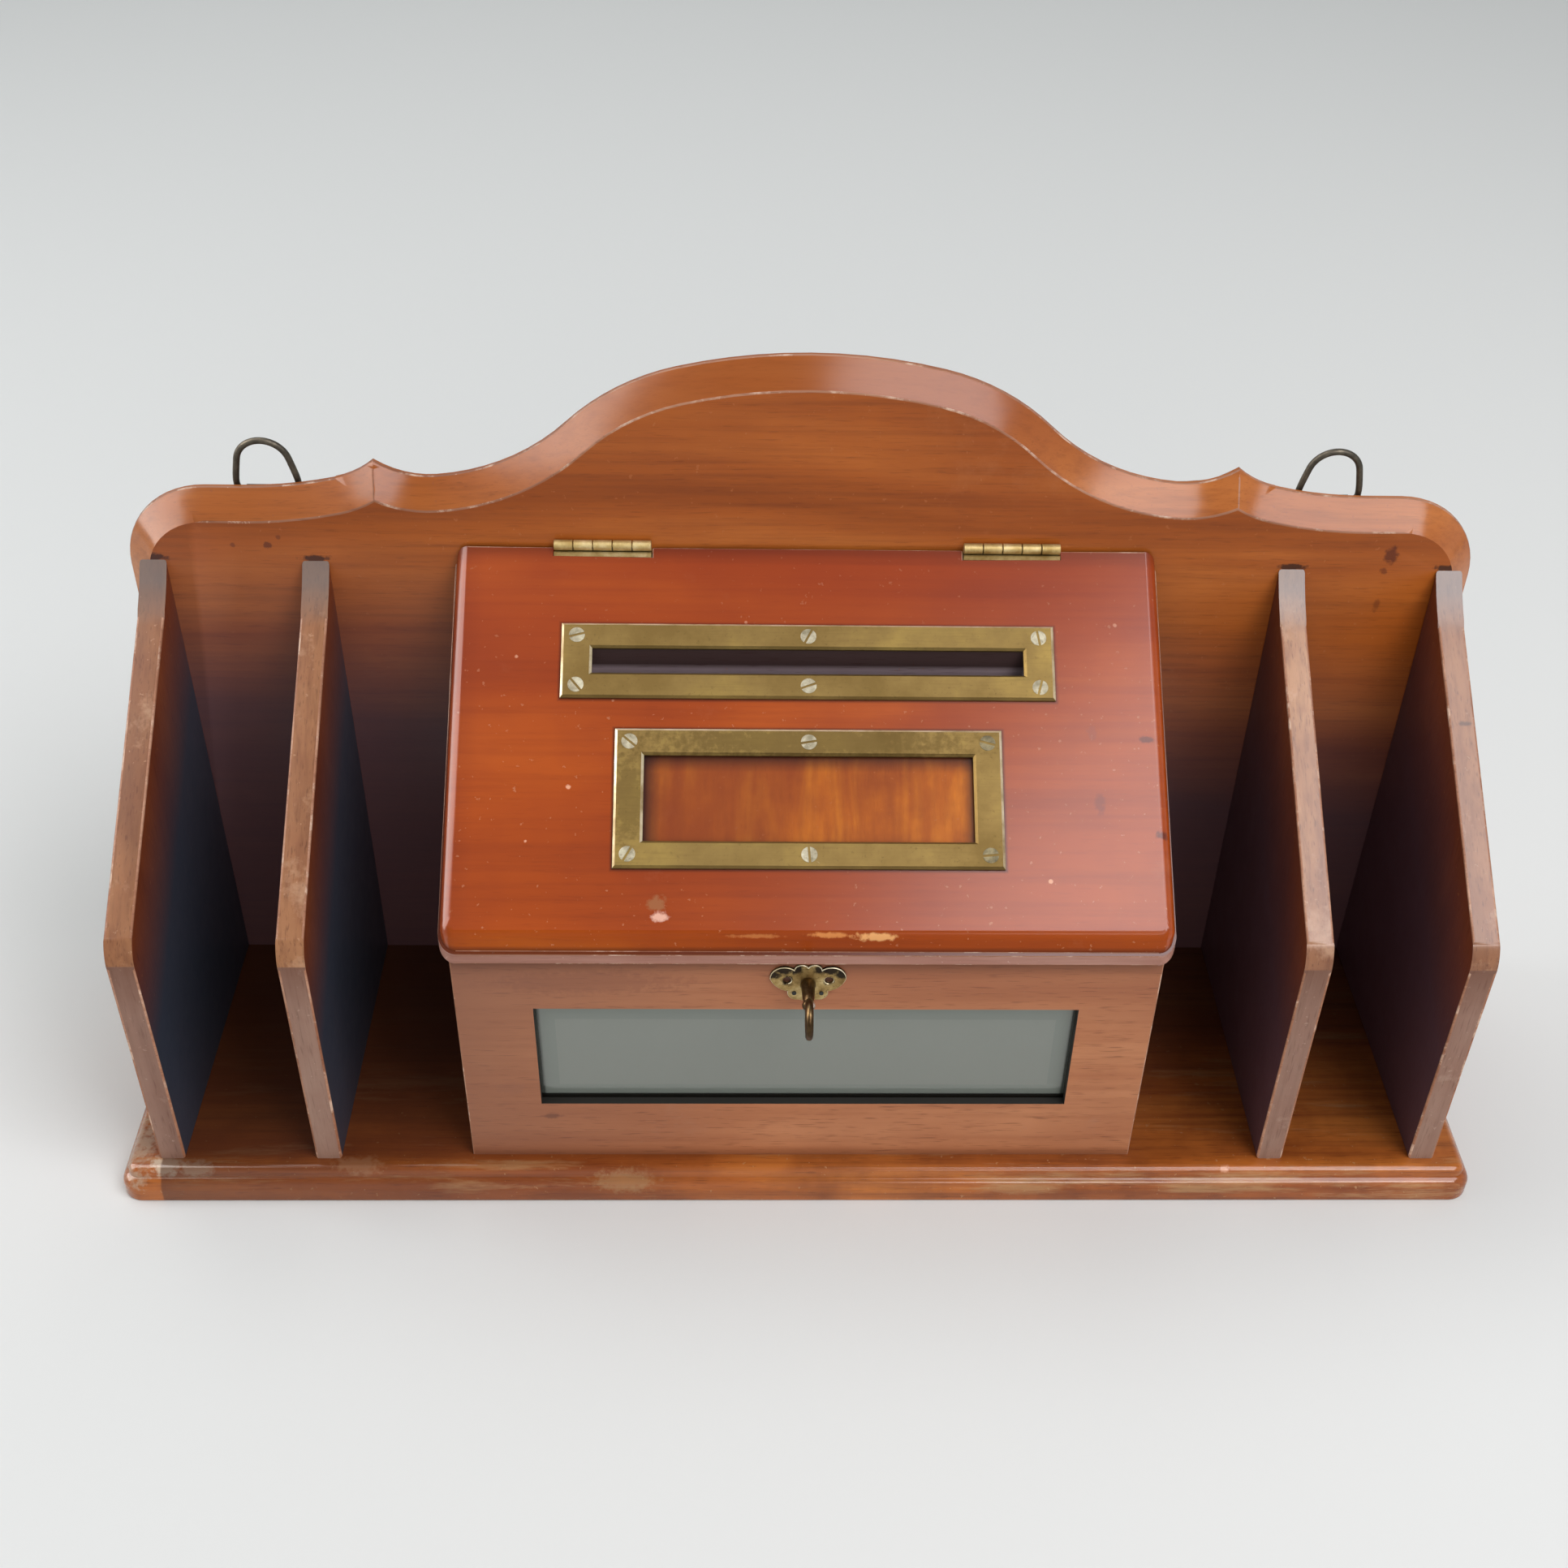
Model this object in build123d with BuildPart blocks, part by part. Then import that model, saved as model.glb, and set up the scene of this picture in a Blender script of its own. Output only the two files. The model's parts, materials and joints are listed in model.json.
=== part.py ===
from build123d import *
from math import cos, pi, radians, sin, tan
import os

os.makedirs("parts", exist_ok=True)

# Desk letter box: a lidded letter box with a glazed front, between four open racks, on a moulded
# base and against a shaped back board that can also hang on a wall by two rings.
# Millimetres. X runs to the right, Y to the back, Z up. The origin is the centre of the base's underside.

# Base board
base_width = 460.0
base_depth = 125.0
base_height = 12.8
base_step = 3.4          # height of the small step on top of the nosing
base_step_inset = 2.6    # how far the step stands back from the nosing
base_corner = 7.0        # plan radius of the two front corners
base_nose_round = 4.4
base_step_round = 2.8

# Back board
board_thickness = 10.0
board_inset = 7.3        # the board's end stands in from the base's end
board_height = 251.4     # top of the arch
board_bevel = 8.3        # the wide bevel that follows the whole shaped edge
shoulder_height = 203.7
shoulder_radius = 28.5

# Points of the shaped edge: distance in from the board's end, height
arch_brow = (180.7, 246.4)    # where the flat crown turns into the steeper flank
arch_waist = (145.7, 227.4)   # where the flank turns from round to hollow
dip = (103.2, 208.3)
cusp = (83.7, 213.5)
neck = (70.7, 207.0)          # foot of the curl outside the cusp
shoulder_run = (40.7, shoulder_height)

# Dividers of the letter racks
divider_thickness = 8.7
divider_depth = 107.1
outer_divider_inset = 5.9        # outer face of an outer divider, in from the board's end
inner_divider_inset = 58.35      # outer face of an inner divider, in from the board's end
divider_back_height = 181.4
divider_slope = 33.5
divider_plumb_height = 99.3      # upper end of the plumb front edge
divider_arris_height = 109.4     # where the rounded nose meets the slope
divider_arris_setback = 4.1
divider_sweep = 14.0             # run over which the top sweeps up to the back board

# Letter box: front, sides, window
box_width = 223.4
box_depth = 105.3        # from the back board's face to the box's front face
front_thickness = 9.0
side_thickness = 8.0
window_stile = 24.7      # wood beside the window
window_height = 42.5
window_bottom = 37.8
window_lip = 3.0         # wood in front of the glass
rebate_margin = 4.0      # how far the glass runs behind the lip
glass_thickness = 3.0
glass_bevel_width = 10.0
glass_bevel_depth = 1.2
glass_gap = 0.2
bead_cover = 1.2         # how far a bead shows inside the sight line

# Lid
lid_slope = 35.0
lid_thickness = 8.7
lid_overhang_side = 2.9
lid_overhang_front = 2.5
lid_rear_height = 188.3  # top face at its rear edge
lid_rear_gap = 1.4
lid_seat_gap = 0.3
lid_lip = 3.2            # square fillet under the rounded edge
lid_lip_proud = 0.8
lid_edge_round = 4.0
lid_corner = 5.0         # plan radius of the two front corners

# Butt hinges
hinge_inset = 45.3       # a hinge's middle, in from the box's side
hinge_length = 31.4
hinge_axis_rise = 1.5    # pin axis above the lid's top face
knuckle_radius = 1.7
knuckle_count = 5
knuckle_sides = 16
knuckle_gap = 0.3
pin_radius = 0.8
pin_sides = 10
pin_fit = 0.05
leaf_thickness = 0.9
leaf_height = 8.6
hinge_clearance = 0.3
leaf_screw_drop = 6.6
leaf_screw_spacing = 18.0

# Brass letter slot and card frame on the lid, placed down the slope from the rear edge
slot_opening = (137.8, 8.4)
slot_bars = (9.85, 8.4)      # breadth of the end bars and of the long bars
slot_distance = 39.4
slot_wood_margin = 0.6   # the wood is cut plumb, this much clear of the brass opening
card_opening = (103.6, 28.0)
card_bars = (9.2, 8.75)
card_distance = 85.0
card_recess_margin = 2.5
card_recess_depth = 0.8
brass_thickness = 1.6
brass_chamfer = 0.8

# Lock, keyhole plate and key
key_height = 94.1
key_stem_radius = 1.7
keyhole_radius = 2.1
keyhole_slot = 2.6
bit_reach = 6.0
bit_width = 2.0
bit_length = 3.2
key_reach = 23.0         # from the keyhole plate to the end of the bow
bow_radius = 6.6
bow_wire = 2.6
bow_sides = 24
bow_thickness = 1.8
collar_radius = 2.6
collar_length = 1.6
plate_thickness = 1.0
plate_top = 6.2          # middle of the upper edge above the keyhole's centre
plate_shoulder = (4.4, 5.2)
plate_wing = (12.0, 1.4)
plate_waist = (6.4, -3.9)
plate_foot = (2.9, -7.5)
plate_tail = 10.6
wing_eye = (6.6, 0.9)
wing_eye_radius = 1.4
plate_pin = (4.3, -4.4)
plate_pin_radius = 0.7
lock_width = 19.0
lock_height = 15.0
lock_depth = 5.0
lock_wall = 0.8
lock_flange_width = 34.0
lock_flange = 1.2
lock_flange_screw = 13.2
bolt_width = 8.0
bolt_thickness = 3.0
bolt_clearance = 0.3
bolt_foot_rise = 2.4     # foot of the bolt above the key's axis
bolt_throw = 4.5
bolt_top_gap = 1.3       # head of the drawn bolt below the lid
keep_size = (22.0, 9.0)
keep_thickness = 1.2
keep_screw = 7.8
lock_part_gap = 0.5

# Hanging rings on the back
ring_inset = 50.3        # a ring's middle, in from the board's end
ring_shift = -2.0        # the pair sits a little left of the middle
ring_height = 200.2      # pivot bar
ring_lean = 7.0
ring_wire = 1.15         # wire radius
ring_half_width = 10.6   # centre of the wire at the foot of a leg
ring_crown_radius = 8.6
ring_crown_rise = 10.9   # pivot to the centre of the crown
ring_corner = 2.0
ring_split = 0.3
crown_steps = 8
wire_sides = 10
fold_sides = 12
strap_width = 14.0
strap_length = 22.0
strap_sheet = 0.9
strap_fit = 0.08
strap_screw_top = 9.0
strap_screw_pitch = 8.0

# Screws: (head radius, shank radius, length, slot width, slot depth)
frame_screw = (2.6, 1.1, 4.2, 0.7, 0.6)
leaf_screw = (1.7, 0.75, 4.2, 0.5, 0.4)
strap_screw = (2.4, 1.1, 7.0, 0.7, 0.6)
small_screw = (1.6, 0.7, 4.0, 0.5, 0.4)
screw_sides = 8
head_rim = 0.2

# How near a face lies to a level to be taken as lying on it
near = 0.1

# Derived places
half_board = base_width / 2 - board_inset
outer_divider_outside = 2 * (half_board - outer_divider_inset)
inner_divider_outside = 2 * (half_board - inner_divider_inset)
hinge_spacing = box_width - 2 * hinge_inset
ring_spacing = 2 * (half_board - ring_inset)
back_y = base_depth / 2
face_y = back_y - board_thickness
box_front_y = face_y - box_depth
box_inner_y = box_front_y + front_thickness
slope = radians(lid_slope)
rise = tan(slope)
lid_rear_y = face_y - lid_rear_gap
lid_front_y = box_front_y - lid_overhang_front
lid_drop = lid_thickness / cos(slope)       # lid thickness measured plumb
lip_drop = lid_lip / cos(slope)
lid_width = box_width + 2 * lid_overhang_side
window_width = box_width - 2 * window_stile
hinge_y = face_y - knuckle_radius - hinge_clearance
inner_face = Plane.XZ.offset(-box_inner_y)  # faces the front, lies on the box front's inner side
front_face = Plane.XZ.offset(-box_front_y)
board_back = Plane.XZ.offset(-back_y)


def from_end(point):
    """A point of the board's shaped edge, from its distance in from the board's end."""
    inset, height = point
    return (half_board - inset, height)


def lid_top(y):
    """Height of the lid's top face at a distance y."""
    return lid_rear_height + (y - lid_rear_y) * rise


hinge_z = lid_top(hinge_y) + hinge_axis_rise
lid_plane = Plane(
    origin=(0, lid_rear_y, lid_rear_height), x_dir=(1, 0, 0), z_dir=(0, -sin(slope), cos(slope))
)
lid_normal = Axis(lid_plane.origin, lid_plane.z_dir)
under_plane = Plane(
    origin=(0, lid_rear_y, lid_rear_height - lid_drop), x_dir=(1, 0, 0), z_dir=(0, sin(slope), -cos(slope))
)


def finish(piece, name):
    """Label a finished piece and write it to its own file."""
    piece.part.label = name
    export_step(piece.part, f"parts/{name}.step")


def screw(size, slotted=True):
    """A countersunk wood screw with flat sides, head face at the origin, point towards -Z."""
    head, shank, length, slot_width, slot_depth = size
    countersink = (head - shank) * cos(pi / screw_sides)
    with BuildPart() as piece:
        with BuildSketch(Plane.XY):
            RegularPolygon(head, screw_sides)
        extrude(amount=-countersink - head_rim)
        chamfer(piece.edges().group_by(Axis.Z)[0], countersink)
        with BuildSketch(Plane.XY):
            RegularPolygon(shank, screw_sides)
        extrude(amount=-length)
        if slotted:
            Box(2 * head, slot_width, 2 * slot_depth, mode=Mode.SUBTRACT)
    return piece.part


def on(plane, points, height=0.0):
    """Places on a plane, at a height above it."""
    return [plane.location * Location((x, y, height)) for x, y in points]


def frame_points(opening, bars, distance):
    """Screw places in the middle of a frame's bars: two rows of three."""
    width = opening[0] + bars[0]
    height = opening[1] + bars[1]
    return [(i * width / 2, s * height / 2 - distance) for s in (1, -1) for i in (-1, 0, 1)]


# Places of the screws
slot_screw_places = on(lid_plane, frame_points(slot_opening, slot_bars, slot_distance), brass_thickness)
card_screw_places = on(lid_plane, frame_points(card_opening, card_bars, card_distance), brass_thickness)
leaf_points = [
    (side * hinge_spacing / 2 + x, hinge_z - leaf_screw_drop)
    for side in (-1, 1)
    for x in (-leaf_screw_spacing / 2, leaf_screw_spacing / 2)
]
leaf_front = knuckle_radius + hinge_clearance - leaf_thickness   # a leaf's inner side, from the axis
board_leaf_plane = Plane.XZ.offset(-(hinge_y + leaf_front))
lid_leaf_plane = Plane(origin=(0, hinge_y - leaf_front, 0), x_dir=(-1, 0, 0), z_dir=(0, 1, 0))
board_leaf_screw_places = on(board_leaf_plane, leaf_points)
lid_leaf_screw_places = on(lid_leaf_plane, leaf_points)
lock_screw_plane = Plane(origin=(0, box_inner_y + lock_flange, 0), x_dir=(-1, 0, 0), z_dir=(0, 1, 0))
lock_screw_places = on(lock_screw_plane, [(s * lock_flange_screw, key_height) for s in (-1, 1)])
lock_y = box_inner_y - (lock_depth - lock_wall) / 2
keep_distance = (lid_rear_y - lock_y) / cos(slope)
keep_screw_places = on(under_plane, [(s * keep_screw, keep_distance) for s in (-1, 1)])
pivot_y = back_y + ring_wire + strap_fit + strap_sheet
strap_back = Plane(origin=(0, back_y + 2 * strap_sheet, 0), x_dir=(-1, 0, 0), z_dir=(0, 1, 0))
strap_points = [                     # seen from behind, so the shift turns round
    (side * ring_spacing / 2 - ring_shift, ring_height - strap_screw_top - i * strap_screw_pitch)
    for side in (-1, 1)
    for i in (0, 1)
]
strap_screw_places = on(strap_back, strap_points)
divider_lines = [
    side * (over - divider_thickness) / 2
    for over in (outer_divider_outside, inner_divider_outside)
    for side in (-1, 1)
]

# Base board: a rounded nosing with a small rounded step above it; the back edge is plain
with BuildPart() as base_board:
    with BuildSketch(Plane.XY):
        Rectangle(base_width, base_depth)
        fillet(vertices().group_by(Axis.Y)[0], base_corner)
    extrude(amount=base_height - base_step)
    nosing = base_board.edges().group_by(Axis.Z)[0] + base_board.edges().group_by(Axis.Z)[-1]
    fillet(nosing.filter_by(lambda e: e.center().Y < back_y - near), base_nose_round)
    with BuildSketch(Plane.XY.offset(base_height - base_step - base_nose_round / 2)):
        with Locations((0, base_step_inset / 2)):
            Rectangle(base_width - 2 * base_step_inset, base_depth - base_step_inset)
        fillet(vertices().group_by(Axis.Y)[0], base_corner - base_step_inset)
    extrude(amount=base_step + base_nose_round / 2)
    rim = base_board.faces().sort_by(Axis.Z)[-1].edges()
    fillet(rim.filter_by(lambda e: e.center().Y < back_y - near), base_step_round)
finish(base_board, "base_board")

# Back board: serpentine top with two cusps, round shoulders, and one wide bevel along the whole edge
with BuildPart() as back_board:
    with BuildSketch(board_back):
        with BuildLine():
            crown = TangentArc((0, board_height), from_end(arch_brow), tangent=(1, 0))
            flank = TangentArc(from_end(arch_brow), from_end(arch_waist), tangent=crown % 1)
            hollow = TangentArc(from_end(arch_waist), from_end(dip), tangent=flank % 1)
            TangentArc(from_end(dip), from_end(cusp), tangent=hollow % 1)
            run = TangentArc(from_end(shoulder_run), from_end(neck), tangent=(-1, 0))
            TangentArc(from_end(neck), from_end(cusp), tangent=run % 1)
            Line(from_end(shoulder_run), (half_board - shoulder_radius, shoulder_height))
            TangentArc(
                (half_board - shoulder_radius, shoulder_height),
                (half_board, shoulder_height - shoulder_radius),
                tangent=(1, 0),
            )
            Line((half_board, shoulder_height - shoulder_radius), (half_board, base_height))
            Line((half_board, base_height), (0, base_height))
            mirror(about=Plane.YZ)
        make_face()
    extrude(amount=board_thickness)
    outline = back_board.faces().sort_by(Axis.Y)[0].edges()
    chamfer(outline.filter_by(lambda e: e.center().Z > base_height + near), board_bevel)
    with Locations(*board_leaf_screw_places):
        add(screw(leaf_screw, slotted=False), mode=Mode.SUBTRACT)
    with Locations(*strap_screw_places):
        add(screw(strap_screw, slotted=False), mode=Mode.SUBTRACT)
finish(back_board, "back_board")

# Dividers: plumb front edge, rounded nose up to an arris, long slope, and a sweep up to the back board
nose_foot = (face_y - divider_depth, divider_plumb_height)
arris = (nose_foot[0] + divider_arris_setback, divider_arris_height)
sweep_y = face_y - divider_sweep
sweep_foot = (sweep_y, divider_arris_height + (sweep_y - arris[0]) * tan(radians(divider_slope)))
divider_names = ["outer_divider_left", "outer_divider_right", "inner_divider_left", "inner_divider_right"]
for name, x in zip(divider_names, divider_lines):
    with BuildPart() as divider:
        with BuildSketch(Plane.YZ.offset(x - divider_thickness / 2)):
            with BuildLine():
                Line((nose_foot[0], base_height), nose_foot)
                TangentArc(nose_foot, arris, tangent=(0, 1))
                incline = Line(arris, sweep_foot)
                TangentArc(sweep_foot, (face_y, divider_back_height), tangent=incline % 1)
                Line((face_y, divider_back_height), (face_y, base_height))
                Line((face_y, base_height), (nose_foot[0], base_height))
            make_face()
        extrude(amount=divider_thickness)
    finish(divider, name)

# Sides of the letter box, their tops cut to the lid's slope
seat_drop = lid_drop + lid_seat_gap
for name, x in (("box_side_left", -box_width / 2), ("box_side_right", box_width / 2 - side_thickness)):
    with BuildPart() as side:
        with BuildSketch(Plane.YZ.offset(x)):
            with BuildLine():
                Polyline(
                    (box_inner_y, base_height),
                    (box_inner_y, lid_top(box_inner_y) - seat_drop),
                    (face_y, lid_top(face_y) - seat_drop),
                    (face_y, base_height),
                    close=True,
                )
            make_face()
        extrude(amount=side_thickness)
    finish(side, name)

# Front of the letter box: bevelled top, window with a rebate behind its lip, lock recess and keyhole
window_middle = window_bottom + window_height / 2
bolt_slot_width = bolt_width + 2 * bolt_clearance
bolt_slot_depth = bolt_thickness + 2 * bolt_clearance
with BuildPart() as box_front:
    with BuildSketch(Plane.YZ.offset(-box_width / 2)):
        with BuildLine():
            Polyline(
                (box_front_y, base_height),
                (box_front_y, lid_top(box_front_y) - seat_drop),
                (box_inner_y, lid_top(box_inner_y) - seat_drop),
                (box_inner_y, base_height),
                close=True,
            )
        make_face()
    extrude(amount=box_width)
    with BuildSketch(front_face):
        with Locations((0, window_middle)):
            Rectangle(window_width, window_height)
    extrude(amount=-front_thickness, mode=Mode.SUBTRACT)
    with BuildSketch(inner_face):
        with Locations((0, window_middle)):
            Rectangle(window_width + 2 * rebate_margin, window_height + 2 * rebate_margin)
    extrude(amount=front_thickness - window_lip, mode=Mode.SUBTRACT)
    with BuildSketch(inner_face):
        with Locations((0, key_height)):
            Rectangle(lock_width, lock_height)
    extrude(amount=lock_depth, mode=Mode.SUBTRACT)
    with BuildSketch(front_face):
        with Locations((0, key_height)):
            Circle(keyhole_radius)
        with Locations((0, key_height - bit_reach / 2)):
            Rectangle(keyhole_slot, bit_reach + bolt_clearance)
    extrude(amount=-front_thickness, mode=Mode.SUBTRACT)
    with Locations((0, lock_y, lid_top(lock_y) - seat_drop)):
        Box(bolt_slot_width, bolt_slot_depth, 2 * bolt_slot_width, mode=Mode.SUBTRACT)
    with Locations(*lock_screw_places):
        add(screw(small_screw, slotted=False), mode=Mode.SUBTRACT)
finish(box_front, "box_front")

# Window: bevelled plate glass, held against the lip by four beads
glass_width = window_width + 2 * (rebate_margin - glass_gap)
glass_height = window_height + 2 * (rebate_margin - glass_gap)
bead_depth = front_thickness - window_lip - glass_thickness
bead_width = rebate_margin + bead_cover
glass_back = inner_face.offset(bead_depth)
with BuildPart() as window_glass:
    with BuildSketch(glass_back):
        with Locations((0, window_middle)):
            Rectangle(glass_width, glass_height)
    extrude(amount=glass_thickness - glass_bevel_depth)
    with BuildSketch(glass_back.offset(glass_thickness - glass_bevel_depth)):
        with Locations((0, window_middle)):
            Rectangle(glass_width, glass_height)
    with BuildSketch(glass_back.offset(glass_thickness)):
        with Locations((0, window_middle)):
            Rectangle(glass_width - 2 * glass_bevel_width, glass_height - 2 * glass_bevel_width)
    loft()
finish(window_glass, "window_glass")

rebate_width = window_width + 2 * rebate_margin
rebate_height = window_height + 2 * rebate_margin
upright = rebate_height - 2 * bead_width
beads = {
    "glazing_bead_top": (0, (rebate_height - bead_width) / 2, rebate_width, bead_width),
    "glazing_bead_bottom": (0, -(rebate_height - bead_width) / 2, rebate_width, bead_width),
    "glazing_bead_left": (-(rebate_width - bead_width) / 2, 0, bead_width, upright),
    "glazing_bead_right": ((rebate_width - bead_width) / 2, 0, bead_width, upright),
}
for name, (x, z, width, height) in beads.items():
    with BuildPart() as bead:
        with BuildSketch(inner_face):
            with Locations((x, window_middle + z)):
                Rectangle(width, height)
        extrude(amount=bead_depth)
    finish(bead, name)

# Lid: a board with a rounded edge over a square fillet on three sides, its front edge plumb
keep_slot_top = lid_top(lock_y) - lid_drop - bolt_top_gap + bolt_throw + lock_part_gap
upper_front_y = lid_front_y + lid_lip_proud
hidden_foot = lip_drop / 2       # how deep the upper part runs into the fillet
with BuildPart() as lid_board:
    with BuildSketch(Plane.YZ.offset(lid_lip_proud - lid_width / 2)):
        with BuildLine():
            Polyline(
                (upper_front_y, lid_top(upper_front_y) - lid_drop + hidden_foot),
                (upper_front_y, lid_top(upper_front_y)),
                (lid_rear_y, lid_rear_height),
                (lid_rear_y, lid_rear_height - lid_drop + hidden_foot),
                close=True,
            )
        make_face()
    extrude(amount=lid_width - 2 * lid_lip_proud)
    fillet(lid_board.edges().filter_by(Axis.Z).group_by(Axis.Y)[0], lid_corner)
    rim = lid_board.faces().sort_by(lid_normal)[-1].edges()
    fillet(rim.filter_by(lambda e: e.center().Y < lid_rear_y - near), lid_edge_round)
    with BuildSketch(Plane.XY):
        with BuildLine():
            Polyline(
                (-lid_width / 2, lid_rear_y),
                (-lid_width / 2, lid_front_y),
                (lid_width / 2, lid_front_y),
                (lid_width / 2, lid_rear_y),
                close=True,
            )
        make_face()
        fillet(vertices().group_by(Axis.Y)[0], lid_corner + lid_lip_proud)
    lip = extrude(amount=2 * lid_rear_height, mode=Mode.PRIVATE)
    with BuildSketch(Plane.YZ.offset(-lid_width)):
        with BuildLine():
            Polyline(
                (lid_front_y - near, lid_top(lid_front_y - near) - lid_drop),
                (lid_front_y - near, lid_top(lid_front_y - near) - lid_drop + lip_drop),
                (lid_rear_y, lid_rear_height - lid_drop + lip_drop),
                (lid_rear_y, lid_rear_height - lid_drop),
                close=True,
            )
        make_face()
    slab = extrude(amount=2 * lid_width, mode=Mode.PRIVATE)
    add(lip & slab)
    with BuildSketch(Plane.XY):
        with Locations((0, lid_rear_y - slot_distance * cos(slope))):
            Rectangle(
                slot_opening[0] + 2 * slot_wood_margin,
                (slot_opening[1] + 2 * slot_wood_margin) * cos(slope),
            )
    extrude(amount=lid_rear_height, mode=Mode.SUBTRACT)
    with BuildSketch(lid_plane):
        with Locations((0, -card_distance)):
            Rectangle(card_opening[0] + 2 * card_recess_margin, card_opening[1] + 2 * card_recess_margin)
    extrude(amount=-card_recess_depth, mode=Mode.SUBTRACT)
    with Locations(*[(s * hinge_spacing / 2, hinge_y, hinge_z) for s in (-1, 1)]):
        Box(
            hinge_length + 2 * hinge_clearance,
            2 * (knuckle_radius + hinge_clearance),
            4 * lid_thickness,
            mode=Mode.SUBTRACT,
        )
    with Locations((0, lock_y, keep_slot_top)):
        Box(
            bolt_slot_width,
            bolt_slot_depth,
            2 * lid_thickness,
            align=(Align.CENTER, Align.CENTER, Align.MAX),
            mode=Mode.SUBTRACT,
        )
    with BuildSketch(under_plane):
        with Locations((0, keep_distance)):
            Rectangle(*keep_size)
    extrude(amount=-keep_thickness, mode=Mode.SUBTRACT)
    for places, size in (
        (slot_screw_places, frame_screw),
        (card_screw_places, frame_screw),
        (lid_leaf_screw_places, leaf_screw),
        (keep_screw_places, small_screw),
    ):
        with Locations(*places):
            add(screw(size, slotted=False), mode=Mode.SUBTRACT)
finish(lid_board, "lid_board")

# Brass letter slot and card frame: flat frames with chamfered outer and inner edges
for name, opening, bars, distance, places in (
    ("slot_frame", slot_opening, slot_bars, slot_distance, slot_screw_places),
    ("card_frame", card_opening, card_bars, card_distance, card_screw_places),
):
    with BuildPart() as frame:
        with BuildSketch(lid_plane):
            with Locations((0, -distance)):
                Rectangle(opening[0] + 2 * bars[0], opening[1] + 2 * bars[1])
                Rectangle(*opening, mode=Mode.SUBTRACT)
        extrude(amount=brass_thickness)
        upper = frame.faces().sort_by(lid_normal)[-1]
        chamfer(upper.edges(), brass_chamfer)
        with Locations(*places):
            add(screw(frame_screw, slotted=False), mode=Mode.SUBTRACT)
    finish(frame, name)

# Butt hinges: two leaves, interleaved knuckles and a pin each
knuckle_length = (hinge_length - (knuckle_count - 1) * knuckle_gap) / knuckle_count
knuckle_pitch = knuckle_length + knuckle_gap
knuckle_starts = [-hinge_length / 2 + i * knuckle_pitch for i in range(knuckle_count)]
knuckle_room = 2 * (knuckle_radius + hinge_clearance)
hinge_plane = Plane(origin=(0, hinge_y, hinge_z), x_dir=(0, 1, 0), z_dir=(1, 0, 0))
for side, side_name in ((-1, "left"), (1, "right")):
    middle = side * hinge_spacing / 2
    for kind, first, direction, bore, places in (
        ("board", 0, 1, pin_radius, board_leaf_screw_places),
        ("lid", 1, -1, pin_radius + pin_fit, lid_leaf_screw_places),
    ):
        own = knuckle_starts[first::2]
        other = knuckle_starts[1 - first :: 2]
        with BuildPart() as leaf:
            with Locations((middle, hinge_y + direction * (leaf_front + leaf_thickness / 2), hinge_z)):
                Box(hinge_length, leaf_thickness, leaf_height, align=(Align.CENTER, Align.CENTER, Align.MAX))
            with Locations(*[(middle + start + knuckle_length / 2, hinge_y, hinge_z) for start in other]):
                Box(knuckle_length + 2 * knuckle_gap, knuckle_room, knuckle_room, mode=Mode.SUBTRACT)
            for start in own:
                with BuildSketch(hinge_plane.offset(middle + start)):
                    RegularPolygon(knuckle_radius, knuckle_sides)
                extrude(amount=knuckle_length)
            with BuildSketch(hinge_plane.offset(middle - hinge_length)):
                RegularPolygon(bore, pin_sides, major_radius=bore == pin_radius)
            extrude(amount=2 * hinge_length, mode=Mode.SUBTRACT)
            with Locations(*places):
                add(screw(leaf_screw, slotted=False), mode=Mode.SUBTRACT)
        finish(leaf, f"hinge_{kind}_leaf_{side_name}")
    with BuildPart() as pin:
        with BuildSketch(hinge_plane.offset(middle - hinge_length / 2)):
            RegularPolygon(pin_radius, pin_sides)
        extrude(amount=hinge_length)
    finish(pin, f"hinge_pin_{side_name}")

# Keyhole plate: a pierced butterfly with a long tail, drawn about the keyhole's centre
keyhole_face = Plane(origin=(0, box_front_y, key_height), x_dir=(1, 0, 0), z_dir=(0, -1, 0))
with BuildPart() as keyhole_plate:
    with BuildSketch(keyhole_face):
        with BuildLine():
            ThreePointArc((0, plate_top), (plate_shoulder[0] / 2, plate_top + 1.1), plate_shoulder)
            ThreePointArc(plate_shoulder, (plate_wing[0] - 3.2, plate_shoulder[1] + 0.9), plate_wing)
            ThreePointArc(plate_wing, (plate_wing[0] - 2.3, plate_waist[1] + 1.7), plate_waist)
            ThreePointArc(plate_waist, (plate_waist[0] - 0.9, plate_foot[1] + 0.8), plate_foot)
            ThreePointArc(plate_foot, (plate_foot[0] / 3, plate_foot[1] - 0.9), (0, -plate_tail))
            mirror(about=Plane.YZ)
        make_face()
        with Locations((wing_eye[0], wing_eye[1]), (-wing_eye[0], wing_eye[1])):
            Circle(wing_eye_radius, mode=Mode.SUBTRACT)
        with Locations((plate_pin[0], plate_pin[1]), (-plate_pin[0], plate_pin[1])):
            Circle(plate_pin_radius, mode=Mode.SUBTRACT)
        Circle(keyhole_radius, mode=Mode.SUBTRACT)
        with Locations((0, -bit_reach / 2)):
            Rectangle(keyhole_slot, bit_reach + bolt_clearance, mode=Mode.SUBTRACT)
    extrude(amount=plate_thickness)
finish(keyhole_plate, "keyhole_plate")

with BuildPart() as keyhole_plate_pins:
    with BuildSketch(keyhole_face):
        with Locations((plate_pin[0], plate_pin[1]), (-plate_pin[0], plate_pin[1])):
            Circle(plate_pin_radius)
    extrude(amount=plate_thickness + plate_pin_radius / 2)
finish(keyhole_plate_pins, "keyhole_plate_pins")

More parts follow.
